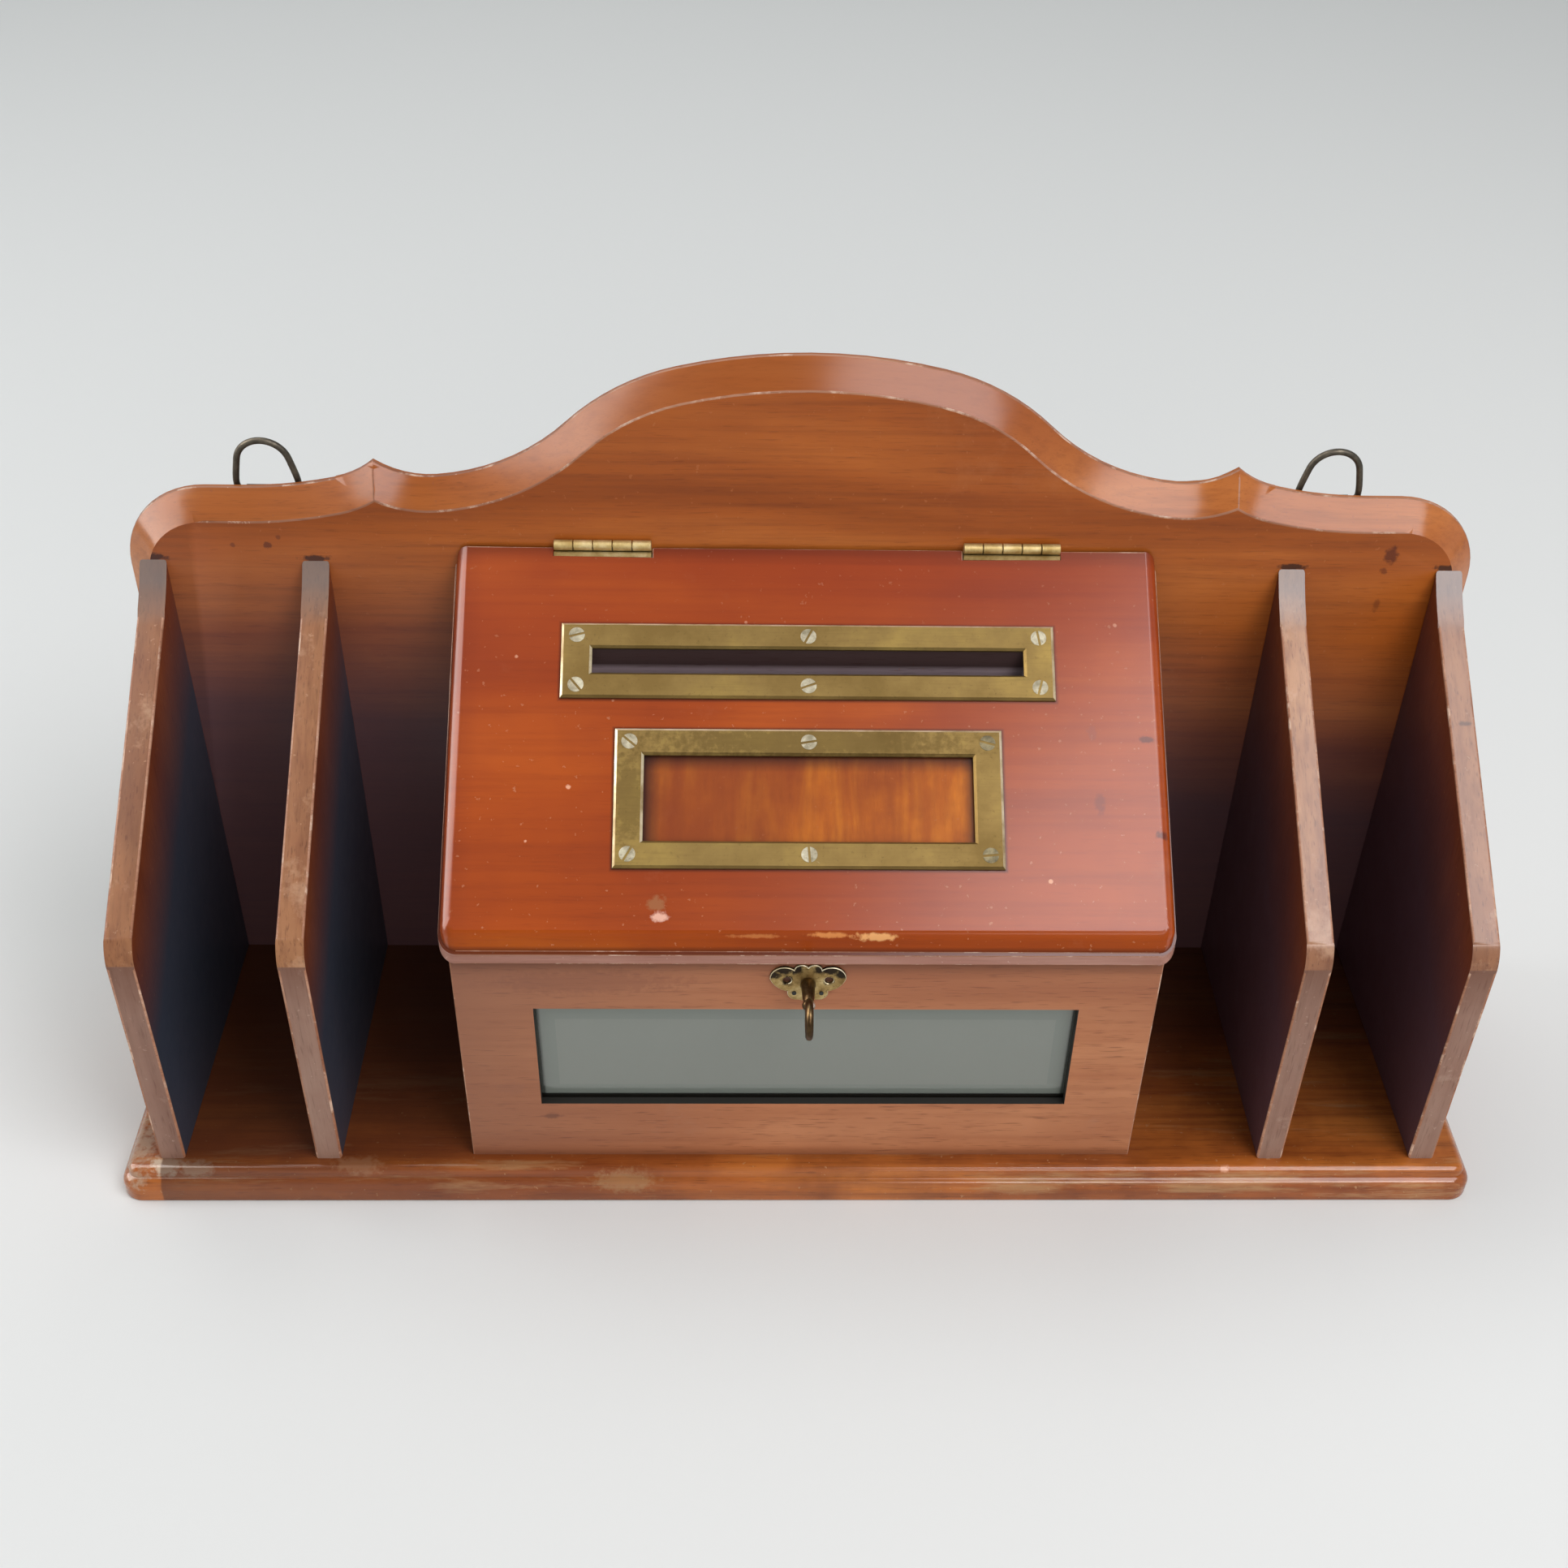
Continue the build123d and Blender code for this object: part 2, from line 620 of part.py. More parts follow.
# Lock: a hollow case let into the inner side of the front, closed by a screwed flange
cavity_radius = bit_reach + lock_part_gap
cavity_depth = lock_depth - lock_wall
with BuildPart() as lock_case:
    with BuildSketch(inner_face):
        with Locations((0, key_height)):
            Rectangle(lock_width, lock_height)
    extrude(amount=lock_depth)
    with BuildSketch(inner_face):
        with Locations((0, key_height)):
            Circle(cavity_radius)
        with Locations((0, key_height + lock_height / 2)):
            Rectangle(bolt_slot_width, lock_height)
    extrude(amount=cavity_depth, mode=Mode.SUBTRACT)
    with BuildSketch(inner_face):
        with Locations((0, key_height)):
            Circle(keyhole_radius)
        with Locations((0, key_height - bit_reach / 2)):
            Rectangle(keyhole_slot, bit_reach + bolt_clearance)
    extrude(amount=lock_depth, mode=Mode.SUBTRACT)
finish(lock_case, "lock_case")

with BuildPart() as lock_cover:
    with BuildSketch(inner_face):
        with Locations((0, key_height)):
            Rectangle(lock_flange_width, lock_height)
    extrude(amount=-lock_flange)
    with Locations(*lock_screw_places):
        add(screw(small_screw, slotted=False), mode=Mode.SUBTRACT)
finish(lock_cover, "lock_cover")

# Bolt: shoots up into the lid when the key turns
bolt_foot = key_height + bolt_foot_rise
bolt_head = lid_top(lock_y - bolt_thickness / 2) - lid_drop - bolt_top_gap
with BuildPart() as lock_bolt:
    with Locations((0, lock_y, bolt_foot)):
        Box(
            bolt_width,
            bolt_thickness,
            bolt_head - bolt_foot,
            align=(Align.CENTER, Align.CENTER, Align.MIN),
        )
finish(lock_bolt, "lock_bolt")

with BuildPart() as keep_plate:
    with BuildSketch(under_plane):
        with Locations((0, keep_distance)):
            Rectangle(*keep_size)
    extrude(amount=-keep_thickness)
    with Locations((0, lock_y, lid_top(lock_y))):
        Box(bolt_slot_width, bolt_slot_depth, 4 * lid_thickness, mode=Mode.SUBTRACT)
    with Locations(*keep_screw_places):
        add(screw(small_screw, slotted=False), mode=Mode.SUBTRACT)
finish(keep_plate, "keep_plate")

# Key: round bow, collar, round stem and a flat bit, bow upright at rest
key_tip_y = lock_y + bit_length / 2
bow_end_y = box_front_y - plate_thickness - key_reach
bow_middle_y = bow_end_y + bow_radius
stem_length = key_tip_y - bow_middle_y - bow_radius
key_plane = Plane(origin=(0, key_tip_y, key_height), x_dir=(1, 0, 0), z_dir=(0, -1, 0))
with BuildPart() as key:
    with BuildSketch(key_plane):
        Circle(key_stem_radius)
    extrude(amount=stem_length + bow_wire / 2)
    with BuildSketch(key_plane):
        with Locations((0, -bit_reach / 2)):
            Rectangle(bit_width, bit_reach)
    extrude(amount=bit_length)
    with BuildSketch(key_plane.offset(stem_length - collar_length)):
        Circle(collar_radius)
    extrude(amount=collar_length)
    with BuildSketch(Plane.YZ.offset(-bow_thickness / 2)):
        with Locations((bow_middle_y, key_height)):
            RegularPolygon(bow_radius, bow_sides)
            RegularPolygon(bow_radius - bow_wire, bow_sides, mode=Mode.SUBTRACT)
    extrude(amount=bow_thickness)
finish(key, "key")

# Hanging rings: bent wire with a round crown, in folded straps screwed to the back
crown_angles = [i * pi / crown_steps for i in range(crown_steps + 1)]
crown = [(ring_crown_radius * cos(a), ring_crown_rise + ring_crown_radius * sin(a)) for a in crown_angles]
foot = [(ring_split / 2, 0), (ring_half_width - ring_corner, 0), (ring_half_width, ring_corner)]
fold_radius = ring_wire + strap_fit
fold_turn = 180 / fold_sides     # a flat of the fold lies against the back board
wire_line = foot + crown + [(-x, y) for x, y in reversed(foot)]
for side, side_name in ((-1, "left"), (1, "right")):
    middle = side * ring_spacing / 2 + ring_shift
    ring_plane = Plane(
        origin=(middle, pivot_y, ring_height),
        x_dir=(-1, 0, 0),
        z_dir=(0, cos(radians(ring_lean)), sin(radians(ring_lean))),
    )
    with BuildPart() as ring:
        with BuildLine(ring_plane):
            Polyline(*wire_line)
        with BuildSketch(Plane(origin=ring_plane.from_local_coords((ring_split / 2, 0)), z_dir=(-1, 0, 0))):
            RegularPolygon(ring_wire, wire_sides)
        sweep(transition=Transition.RIGHT)
    finish(ring, f"ring_{side_name}")

    strap_plane = Plane(
        origin=(middle - strap_width / 2, pivot_y, ring_height), x_dir=(0, 1, 0), z_dir=(1, 0, 0)
    )
    with BuildPart() as strap:
        with BuildSketch(strap_plane):
            RegularPolygon(fold_radius + strap_sheet, fold_sides, major_radius=False, rotation=fold_turn)
            with Locations((back_y - pivot_y, 0)):
                Rectangle(2 * strap_sheet, strap_length, align=(Align.MIN, Align.MAX))
            RegularPolygon(
                fold_radius, fold_sides, major_radius=False, rotation=fold_turn, mode=Mode.SUBTRACT
            )
        extrude(amount=strap_width)
        with Locations(*strap_screw_places):
            add(screw(strap_screw, slotted=False), mode=Mode.SUBTRACT)
    finish(strap, f"ring_strap_{side_name}")

# Screws, one node for each set
for name, places, size in (
    ("slot_frame_screws", slot_screw_places, frame_screw),
    ("card_frame_screws", card_screw_places, frame_screw),
    ("hinge_board_screws", board_leaf_screw_places, leaf_screw),
    ("hinge_lid_screws", lid_leaf_screw_places, leaf_screw),
    ("lock_screws", lock_screw_places, small_screw),
    ("keep_screws", keep_screw_places, small_screw),
    ("strap_screws", strap_screw_places, strap_screw),
):
    with BuildPart() as screws:
        with Locations(*places):
            add(screw(size))
    finish(screws, name)
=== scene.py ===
import json
import bpy
from math import cos, sin, pi, radians
from mathutils import Matrix, Vector

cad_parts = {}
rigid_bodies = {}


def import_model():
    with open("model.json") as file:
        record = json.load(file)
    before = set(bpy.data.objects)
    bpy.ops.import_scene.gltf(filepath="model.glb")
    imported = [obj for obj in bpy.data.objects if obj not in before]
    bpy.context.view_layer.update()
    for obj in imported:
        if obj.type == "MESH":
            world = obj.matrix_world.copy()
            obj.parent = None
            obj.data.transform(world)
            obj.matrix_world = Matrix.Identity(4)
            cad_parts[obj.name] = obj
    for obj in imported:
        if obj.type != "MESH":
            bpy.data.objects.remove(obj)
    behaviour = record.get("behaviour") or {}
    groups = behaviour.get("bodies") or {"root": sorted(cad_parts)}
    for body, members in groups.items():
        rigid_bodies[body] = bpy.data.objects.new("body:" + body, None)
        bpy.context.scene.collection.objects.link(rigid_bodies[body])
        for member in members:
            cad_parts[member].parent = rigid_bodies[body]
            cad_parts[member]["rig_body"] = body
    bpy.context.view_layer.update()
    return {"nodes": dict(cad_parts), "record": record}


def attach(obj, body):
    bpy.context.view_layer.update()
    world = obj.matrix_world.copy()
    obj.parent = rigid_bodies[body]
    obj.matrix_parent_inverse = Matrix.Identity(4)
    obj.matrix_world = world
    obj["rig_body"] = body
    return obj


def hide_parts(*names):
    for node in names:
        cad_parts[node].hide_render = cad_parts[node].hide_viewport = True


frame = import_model()
cadNodes = frame["nodes"]
mm = 0.001
print("frame loaded:", len(cadNodes), "nodes")


# ---- small helpers for materials ----
def tone(hexColour):
    parts = [int(hexColour[i:i + 2], 16) / 255 for i in (1, 3, 5)]
    return tuple(((p + 0.055) / 1.055) ** 2.4 if p > 0.04 else p / 12.92 for p in parts) + (1.0,)


def addNode(tree, kind, inputs=None, **settings):
    made = tree.nodes.new(kind)
    for key, value in settings.items():
        setattr(made, key, value)
    for key, value in (inputs or {}).items():
        if isinstance(value, bpy.types.NodeSocket):
            tree.links.new(value, made.inputs[key])
        else:
            made.inputs[key].default_value = value
    return made


def coordsOf(tree, stretch=(1, 1, 1)):
    source = addNode(tree, "ShaderNodeTexCoord")
    if stretch == (1, 1, 1):
        return source.outputs["Object"]
    mapped = addNode(tree, "ShaderNodeMapping", {"Vector": source.outputs["Object"], "Scale": stretch})
    return mapped.outputs["Vector"]


def noiseOf(tree, coords, scale, detail=3.0, roughness=0.55, distortion=0.0):
    made = addNode(tree, "ShaderNodeTexNoise", {"Vector": coords, "Scale": scale, "Detail": detail,
                                               "Roughness": roughness, "Distortion": distortion})
    return made.outputs["Fac"]


def rampOf(tree, factor, stops):
    made = addNode(tree, "ShaderNodeValToRGB", {"Fac": factor})
    bar = made.color_ramp
    bar.elements[0].position, bar.elements[0].color = stops[0]
    bar.elements[1].position, bar.elements[1].color = stops[-1]
    for place, colour in stops[1:-1]:
        bar.elements.new(place).color = colour
    return made.outputs["Color"]


def stepOf(tree, factor, low, high, start=0.0, end=1.0):
    made = addNode(tree, "ShaderNodeMapRange", {"Value": factor, "From Min": low, "From Max": high,
                                               "To Min": start, "To Max": end}, clamp=True)
    return made.outputs["Result"]


def mixOf(tree, factor, under, over, mode="MIX"):
    made = addNode(tree, "ShaderNodeMix", data_type="RGBA", blend_type=mode)
    for place, value in ((0, factor), (6, under), (7, over)):
        if isinstance(value, bpy.types.NodeSocket):
            tree.links.new(value, made.inputs[place])
        else:
            made.inputs[place].default_value = value
    return made.outputs[2]


def mathOf(tree, operation, first, second=0.0):
    made = addNode(tree, "ShaderNodeMath", {0: first, 1: second}, operation=operation)
    return made.outputs[0]


def alongOf(tree, coords, direction):
    made = addNode(tree, "ShaderNodeVectorMath", {0: coords, 1: direction}, operation="DOT_PRODUCT")
    return made.outputs["Value"]


def newMaterial(name, **sockets):
    made = bpy.data.materials.new(name)
    made.use_nodes = True
    shader = made.node_tree.nodes["Principled BSDF"]
    for key, value in sockets.items():
        shader.inputs[key.replace("_", " ")].default_value = value
    return made, made.node_tree, shader


def darkened(tree, coords, colour, shades):
    """A tone that deepens along a direction, used for painted shade and painted reflection as well as real colour
    changes: direction, start, end, amount, tone.
    """
    for direction, start, end, amount, shade in shades:
        depth = stepOf(tree, alongOf(tree, coords, direction), start * mm, end * mm, 0.0, amount)
        colour = mixOf(tree, depth, colour, tone(shade))
    return colour


def spotted(tree, coords, colour, spots):
    """Ragged marks, real ones and also painted shadows and highlights: place, radius, stretch, tone, strength."""
    if not spots:
        return colour
    ragged = noiseOf(tree, coords, 480.0, 3.0, 0.6)
    for place, radius, stretch, shade, strength in spots:
        offset = addNode(tree, "ShaderNodeVectorMath", {0: coords, 1: tuple(v * mm for v in place)},
                         operation="SUBTRACT").outputs["Vector"]
        scaled = addNode(tree, "ShaderNodeVectorMath", {0: offset, 1: stretch}, operation="MULTIPLY").outputs["Vector"]
        away = addNode(tree, "ShaderNodeVectorMath", {0: scaled}, operation="LENGTH").outputs["Value"]
        torn = mathOf(tree, "MULTIPLY_ADD", ragged, radius * 1.6 * mm)
        torn.node.inputs[2].default_value = -radius * 0.8 * mm
        edge = mathOf(tree, "ADD", away, torn)
        colour = mixOf(tree, stepOf(tree, edge, radius * 0.55 * mm, radius * mm, strength, 0.0), colour, tone(shade))
    return colour


def outlined(tree, coords, colour, outlines):
    """Painted contact shadow round a fitting, on the lid's top face only: half width, middle and half height up the
    slope, width.
    """
    for halfWidth, middle, halfHeight, width in outlines:
        across = mathOf(tree, "ABSOLUTE", alongOf(tree, coords, (1, 0, 0)))
        upward = mathOf(tree, "ABSOLUTE", mathOf(tree, "SUBTRACT", alongOf(tree, coords, (0, 0.8192, 0.5736)), middle * mm))
        outside = mathOf(tree, "MAXIMUM", mathOf(tree, "SUBTRACT", across, halfWidth * mm),
                         mathOf(tree, "SUBTRACT", upward, halfHeight * mm))
        contactShadow = stepOf(tree, outside, 0.2 * width * mm, width * mm, 0.8, 0.0)
        upperSide = stepOf(tree, alongOf(tree, coords, (0, -0.5736, 0.8192)), 122 * mm, 123 * mm)
        colour = mixOf(tree, mathOf(tree, "MULTIPLY", contactShadow, upperSide), colour, tone("#3a160a"))
    return colour


def insideRacks(tree, coords, halfWidth, back):
    """Mask for the painted rack shade: one between the outer dividers and in front of the given depth, else none."""
    across = mathOf(tree, "ABSOLUTE", alongOf(tree, coords, (1, 0, 0)))
    between = stepOf(tree, across, (halfWidth - 0.6) * mm, halfWidth * mm, 1.0, 0.0)
    return mathOf(tree, "MULTIPLY", between, stepOf(tree, alongOf(tree, coords, (0, 1, 0)), back * mm, (back + 0.6) * mm, 1.0, 0.0))


# ---- wood: stain, slow figure along the grain, short pores, an uneven old polish ----
def woodMaterial(look):
    made, tree, shader = newMaterial(look["name"], Coat_Weight=look["polish"], Coat_Roughness=look["polishBlur"],
                                     Specular_IOR_Level=look["sheen"], Coat_IOR=1.45)
    along = {"x": (0.14, 1, 1), "y": (1, 0.14, 0.3), "z": (1, 0.6, 0.14)}[look["grain"]]
    fineAlong = {"x": (0.07, 1, 1), "y": (1, 0.07, 0.3), "z": (1, 0.6, 0.07)}[look["grain"]]
    streakAlong = {"x": (0.03, 1, 1), "y": (1, 0.03, 0.3), "z": (1, 0.6, 0.03)}[look["grain"]]
    plain = coordsOf(tree)
    figure = noiseOf(tree, coordsOf(tree, along), look["figureScale"], 3.0, 0.5, 0.8)
    colour = rampOf(tree, figure, [(0.28, tone(look["dark"])), (0.5, tone(look["middle"])), (0.72, tone(look["light"]))])
    cloud = noiseOf(tree, plain, look["cloudScale"], 4.0, 0.6)
    colour = mixOf(tree, stepOf(tree, cloud, 0.42, 0.72, 0.0, look["cloud"]), colour, tone(look["cloudTone"]))
    fine = coordsOf(tree, fineAlong)
    streaks = noiseOf(tree, coordsOf(tree, streakAlong), look["streakScale"], 2.0, 0.6)
    colour = mixOf(tree, stepOf(tree, streaks, 0.45, 0.72, 0.0, look["streaks"]), colour, tone(look["streakTone"]))
    pores = noiseOf(tree, fine, 1900.0, 1.0, 0.5)
    colour = mixOf(tree, stepOf(tree, pores, 0.6, 0.74, 0.0, look["pores"]), colour, tone(look["pore"]))
    rubbed = noiseOf(tree, coordsOf(tree, look["rubbedAlong"]), look["rubbedScale"], 6.0, 0.7)
    colour = mixOf(tree, stepOf(tree, rubbed, look["rubbedFrom"], look["rubbedFrom"] + 0.1, 0.0, look["rubbed"]), colour,
                   tone(look["rubbedTone"]))
    flecks = noiseOf(tree, plain, 520.0, 2.0, 0.6)
    colour = mixOf(tree, stepOf(tree, flecks, 0.69, 0.73, 0.0, look["flecks"]), colour, tone(look["rubbedTone"]))
    colour = spotted(tree, plain, colour, look.get("spots", []))
    colour = outlined(tree, plain, colour, look.get("outlines", []))
    shaded = darkened(tree, plain, colour, look.get("shades", []))
    if "racks" in look:
        shaded = mixOf(tree, insideRacks(tree, plain, *look["racks"]), colour, shaded)
    colour = shaded
    tree.links.new(colour, shader.inputs["Base Color"])
    dull = noiseOf(tree, plain, 22.0, 5.0, 0.65)
    tree.links.new(stepOf(tree, dull, 0.3, 0.7, look["gloss"][0], look["gloss"][1]), shader.inputs["Roughness"])
    bumpSource = mathOf(tree, "ADD", pores, noiseOf(tree, plain, 70.0, 3.0, 0.5))
    bump = addNode(tree, "ShaderNodeBump", {"Height": bumpSource, "Strength": look["bump"], "Distance": 0.0004})
    tree.links.new(bump.outputs["Normal"], shader.inputs["Normal"])
    return made


woodBase = {"grain": "x", "figureScale": 30.0, "cloudScale": 14.0, "cloud": 0.45, "pores": 0.35, "pore": "#3a1408",
            "rubbedScale": 30.0, "rubbedFrom": 0.62, "rubbed": 0.2, "rubbedTone": "#a8683c", "flecks": 0.35,
            "gloss": (0.42, 0.6), "sheen": 0.1, "polish": 0.35, "polishBlur": 0.25, "bump": 0.1, "streaks": 0.3,
            "streakScale": 420.0, "streakTone": "#5c2a12", "rubbedAlong": (1, 1, 1)}
boardLook = {**woodBase, "name": "polishedBoard", "dark": "#84400f", "middle": "#9a501a", "light": "#b06428",
             "cloudTone": "#7e3c16", "pores": 0.22, "streaks": 0.32,
             # painted shade: the board darkens towards the bottom inside the racks
             "shades": [((0.12, 0, 1), 176, 100, 0.9, "#4a3840")], "racks": (216.0, 53.0),
             "spots": [((192, 52.5, 187), 2.6, (1, 1, 0.7), "#4a1c0c", 0.8), ((190.5, 52.5, 181), 1.6, (1, 1, 1), "#54220e", 0.6),
                       ((-174.6, 52.5, 187.1), 1.6, (1, 1, 1), "#4e2010", 0.7), ((-185.8, 52.5, 187), 1.0, (1, 1, 1), "#5a2812", 0.6),
                       ((-171, 52.5, 190), 0.9, (1, 1, 1), "#4e2010", 0.5), ((191, 52.5, 168), 1.4, (1, 1, 0.5), "#5a2a14", 0.5)]
             # painted contact shadow on the board just above each divider top
             + [((across, 52.5, 182.3), 2.4, (0.42, 1, 1.5), "#220f08", 0.85) for across in (-212.4, -160, 160, 212.4)]}
boardWood = woodMaterial(boardLook)
boardBevel = woodMaterial({**woodBase, "name": "boardBevel", "dark": "#965220", "middle": "#a9632d", "light": "#bc763c",
                           "cloudTone": "#924a20", "pores": 0.2, "rubbed": 0.3, "rubbedTone": "#7e4630", "polish": 0.8,
                           "polishBlur": 0.18, "sheen": 0.05, "shades": [((0, 0, 1), 210, 236, 0.65, "#84400f")]})
lidLook = {**woodBase, "name": "polishedLid", "figureScale": 22.0, "dark": "#8a360a", "middle": "#9e430e", "light": "#b25414",
           "cloudTone": "#7e2e10", "cloud": 0.6, "pores": 0.1, "rubbed": 0.08, "flecks": 0.4, "polish": 1.0,
           "polishBlur": 0.2, "gloss": (0.55, 0.65), "rubbedTone": "#c08a66", "sheen": 0.03, "streaks": 0.28, "bump": 0.03,
           # painted contact shadow round the slot frame and the card frame
           "outlines": [(78.75, 110.5, 12.6, 1.1), (61.0, 64.9, 22.75, 1.1)],
           "streakTone": "#6e260c", "streakScale": 300.0,
           # redder towards the top and darker along the top edge; painted shade darkens the left border and the crease
           # where the rounding meets the lip
           "shades": [((0, 0.819, 0.574), 70, 140, 0.45, "#84301a"), ((-1, 0, 0), 104, 117, 0.5, "#6a2410"),
                      ((0, -0.574, 0.819), 121.4, 119.5, 0.75, "#3c1608"), ((0, 0.819, 0.574), 144, 150, 0.55, "#4c1c12")],
           "spots": [((-47.3, -46.2, 120.2), 2.8, (0.8, 1, 1), "#94603c", 0.8), ((-46.2, -49.6, 117.8), 2.4, (0.8, 1.2, 1.2), "#e0b09a", 0.85),
                     ((20.3, -54.6, 114.0), 2.4, (0.3, 1.3, 1.3), "#dca468", 0.8), ((6, -54.0, 114.4), 1.5, (0.2, 1.4, 1.4), "#d08a4c", 0.7),
                     ((31, -55.6, 113.2), 1.4, (0.22, 1.3, 1.3), "#d89858", 0.7), ((-16, -54.4, 114.1), 1.2, (0.12, 1.4, 1.4), "#bc7840", 0.55),
                     ((91.4, -19.2, 139.1), 3.0, (1.5, 0.8, 0.8), "#74301c", 0.7),
                     ((89.8, -0.5, 152.2), 2.4, (1.3, 0.8, 0.8), "#84402a", 0.5), ((107.1, -1.9, 151.2), 1.3, (0.5, 1, 1), "#4e1c10", 0.8),
                     ((111.4, -27.8, 133), 1.6, (0.5, 1, 1), "#4e1c10", 0.8), ((-75.3, -15.6, 141.6), 0.9, (1, 1, 1), "#dca07c", 0.9),
                     ((-88, -30, 131.5), 0.6, (1, 1, 1), "#dca07c", 0.9), ((-62, 8, 158.1), 0.6, (1, 1, 1), "#dca07c", 0.8),
                     ((-93, 20, 166.5), 0.6, (1, 1, 1), "#dca07c", 0.8), ((75, -40, 124.5), 0.8, (1, 1, 1), "#d8a07c", 0.8),
                     ((99, 30, 173.5), 0.7, (1, 1, 1), "#d8a07c", 0.7), ((-20, 30, 173.5), 0.6, (1, 1, 1), "#dca07c", 0.8)]}
lidWood = woodMaterial(lidLook)
lidRound = woodMaterial({**lidLook, "name": "lidRounding", "dark": "#7e300a", "middle": "#96420e", "light": "#a85414",
                         "polish": 0.25, "sheen": 0.02})
recessWood = woodMaterial({**woodBase, "name": "figuredWood", "grain": "y", "figureScale": 90.0, "dark": "#8c400e",
                           "middle": "#ac5a12", "light": "#d07c1c", "cloudTone": "#7a3410", "cloudScale": 40.0, "cloud": 0.7,
                           "pores": 0.1, "polish": 0.2, "streaks": 0.4, "streakScale": 260.0, "streakTone": "#7a3810",
                           # the left half is redder; painted shadow darkens the recess along its left, right and top
                           # edges
                           "shades": [((-1, 0, 0), -16, 26, 0.6, "#7c3616"), ((-1, 0, 0), 46.5, 51.5, 0.85, "#1e1216"),
                                      ((1, 0, 0), 48, 51.8, 0.8, "#24120c"), ((0, 0.819, 0.574), 74, 78.6, 0.8, "#281410")]})
slotWood = woodMaterial({**woodBase, "name": "slotWood", "dark": "#8c7c80", "middle": "#9c8c90", "light": "#a89a9a",
                         "cloudTone": "#7c6a70", "polish": 0.1, "streaks": 0.1,
                         # painted shade darkens the slot wall towards the top
                         "shades": [((0, 0, 1), 160.3, 162.2, 0.92, "#2a1814")]})
lipWood = woodMaterial({**woodBase, "name": "lipWood", "dark": "#8e6052", "middle": "#a67e70", "light": "#bc988a",
                        "cloudTone": "#84503e", "pores": 0.2, "rubbed": 0.5, "rubbedTone": "#ccb0a2"})
baseLook = {**woodBase, "name": "polishedBase", "figureScale": 34.0, "dark": "#7c3c14", "middle": "#a85c22", "light": "#c67a34",
            "cloudTone": "#68300f", "cloud": 0.75, "cloudScale": 30.0, "rubbed": 0.55, "rubbedFrom": 0.55,
            "rubbedTone": "#b08a5e", "rubbedAlong": (0.12, 1, 1), "rubbedScale": 90.0, "streaks": 0.5,
            "pores": 0.35, "polish": 1.0, "polishBlur": 0.14, "sheen": 0.05, "flecks": 0.5,
            "racks": (216.0, 52.6),
            # painted shadow in front of the box's foot; painted shade darkens the base inside the racks, more towards
            # the back on the left, and the whole base towards the left
            "shades": [((0, 1, 0), -56.0, -53.4, 0.4, "#5c280e"), ((0, 1, 0), -54, 20, 0.8, "#2e1c18"), ((-1, 1.6, 0), 0, 130, 0.6, "#2c1a14"),
                       ((-1, 0, 0), -170, 200, 0.35, "#5c3018")],
            "spots": [((-213.8, -57.2, 12.0), 4.5, (0.7, 1, 1), "#c0ae96", 0.8), ((-224, -48, 9), 7.0, (1, 0.4, 1), "#a8947c", 0.6),
                      ((-204, -59, 12.5), 4.0, (0.6, 1, 1), "#b49a80", 0.7), ((144, -59.2, 12.8), 2.0, (1, 1, 1), "#d8a080", 0.7),
                      ((-150, -57, 12), 4.0, (0.4, 1, 1), "#a87a56", 0.6), ((-60, -60, 8), 5.0, (0.4, 1, 1), "#a08058", 0.5)]}
baseWood = woodMaterial(baseLook)
frontWood = woodMaterial({**woodBase, "name": "polishedFront", "figureScale": 26.0, "dark": "#9a5e3e", "middle": "#a86c48",
                          "light": "#b67c56", "cloudTone": "#8c5438", "cloud": 0.5, "pores": 0.4, "rubbed": 0.3, "streaks": 0.35,
                          "streakTone": "#80482c", "streakScale": 300.0,
                          "polish": 0.4, "polishBlur": 0.35, "flecks": 0.2, "rubbedTone": "#9c7058",
                          # painted shade: the front darkens towards the top and the left, under the lid's lip and at
                          # its foot
                          "shades": [((0, 0, 1), 60, 100, 0.4, "#80503c"), ((-1, 0, 0), 20, 110, 0.6, "#765040"),
                                     ((0, 0, 1), 96, 103, 0.7, "#4c281c"), ((0, 0, -1), -17, -13, 0.5, "#5c3018")],
                          "spots": [((-83.4, -52.8, 31.9), 2.2, (0.5, 1, 1.6), "#5c3626", 0.75),
                                    # painted shade under the lid on the left, and dark behind the keyhole plate's eyes
                                    ((-70, -52.8, 93), 9.0, (0.25, 1, 1.5), "#7c4a34", 0.45),
                                    ((-6.6, -52.8, 95), 2.2, (1, 1, 1), "#140c08", 1.0), ((6.6, -52.8, 95), 2.2, (1, 1, 1), "#140c08", 1.0),
                                    ((-97, -52.8, 45), 5.0, (0.8, 1, 1.6), "#8e5c44", 0.4)]})
sideWood = woodMaterial({**woodBase, "name": "boxSide", "dark": "#5e2c16", "middle": "#70381e", "light": "#804626",
                         # painted shade darkens the sides towards the back of the racks
                         "cloudTone": "#4a2012", "shades": [((0, 1, 0), -44, 6, 0.85, "#2a242c")]})
slopeAcross = (0, -sin(radians(33.5)), cos(radians(33.5)))
dividerLook = {**woodBase, "name": "polishedDivider", "grain": "z", "dark": "#602c1a", "middle": "#6e341c",
                            "light": "#804222", "cloudTone": "#4e2014", "polish": 0.4, "polishBlur": 0.25,
                            # painted shade: the faces darken deeper into the racks, navy on the left dividers and plum
                            # on the right
                            "shades": [(slopeAcross, 117, 82, 0.94, "#2e3946")], "racks": (215.5, 60.0)}
dividerWood = woodMaterial(dividerLook)
dividerRight = woodMaterial({**dividerLook, "name": "dividerRight", "shades": [(slopeAcross, 116, 78, 0.9, "#543c44")]})
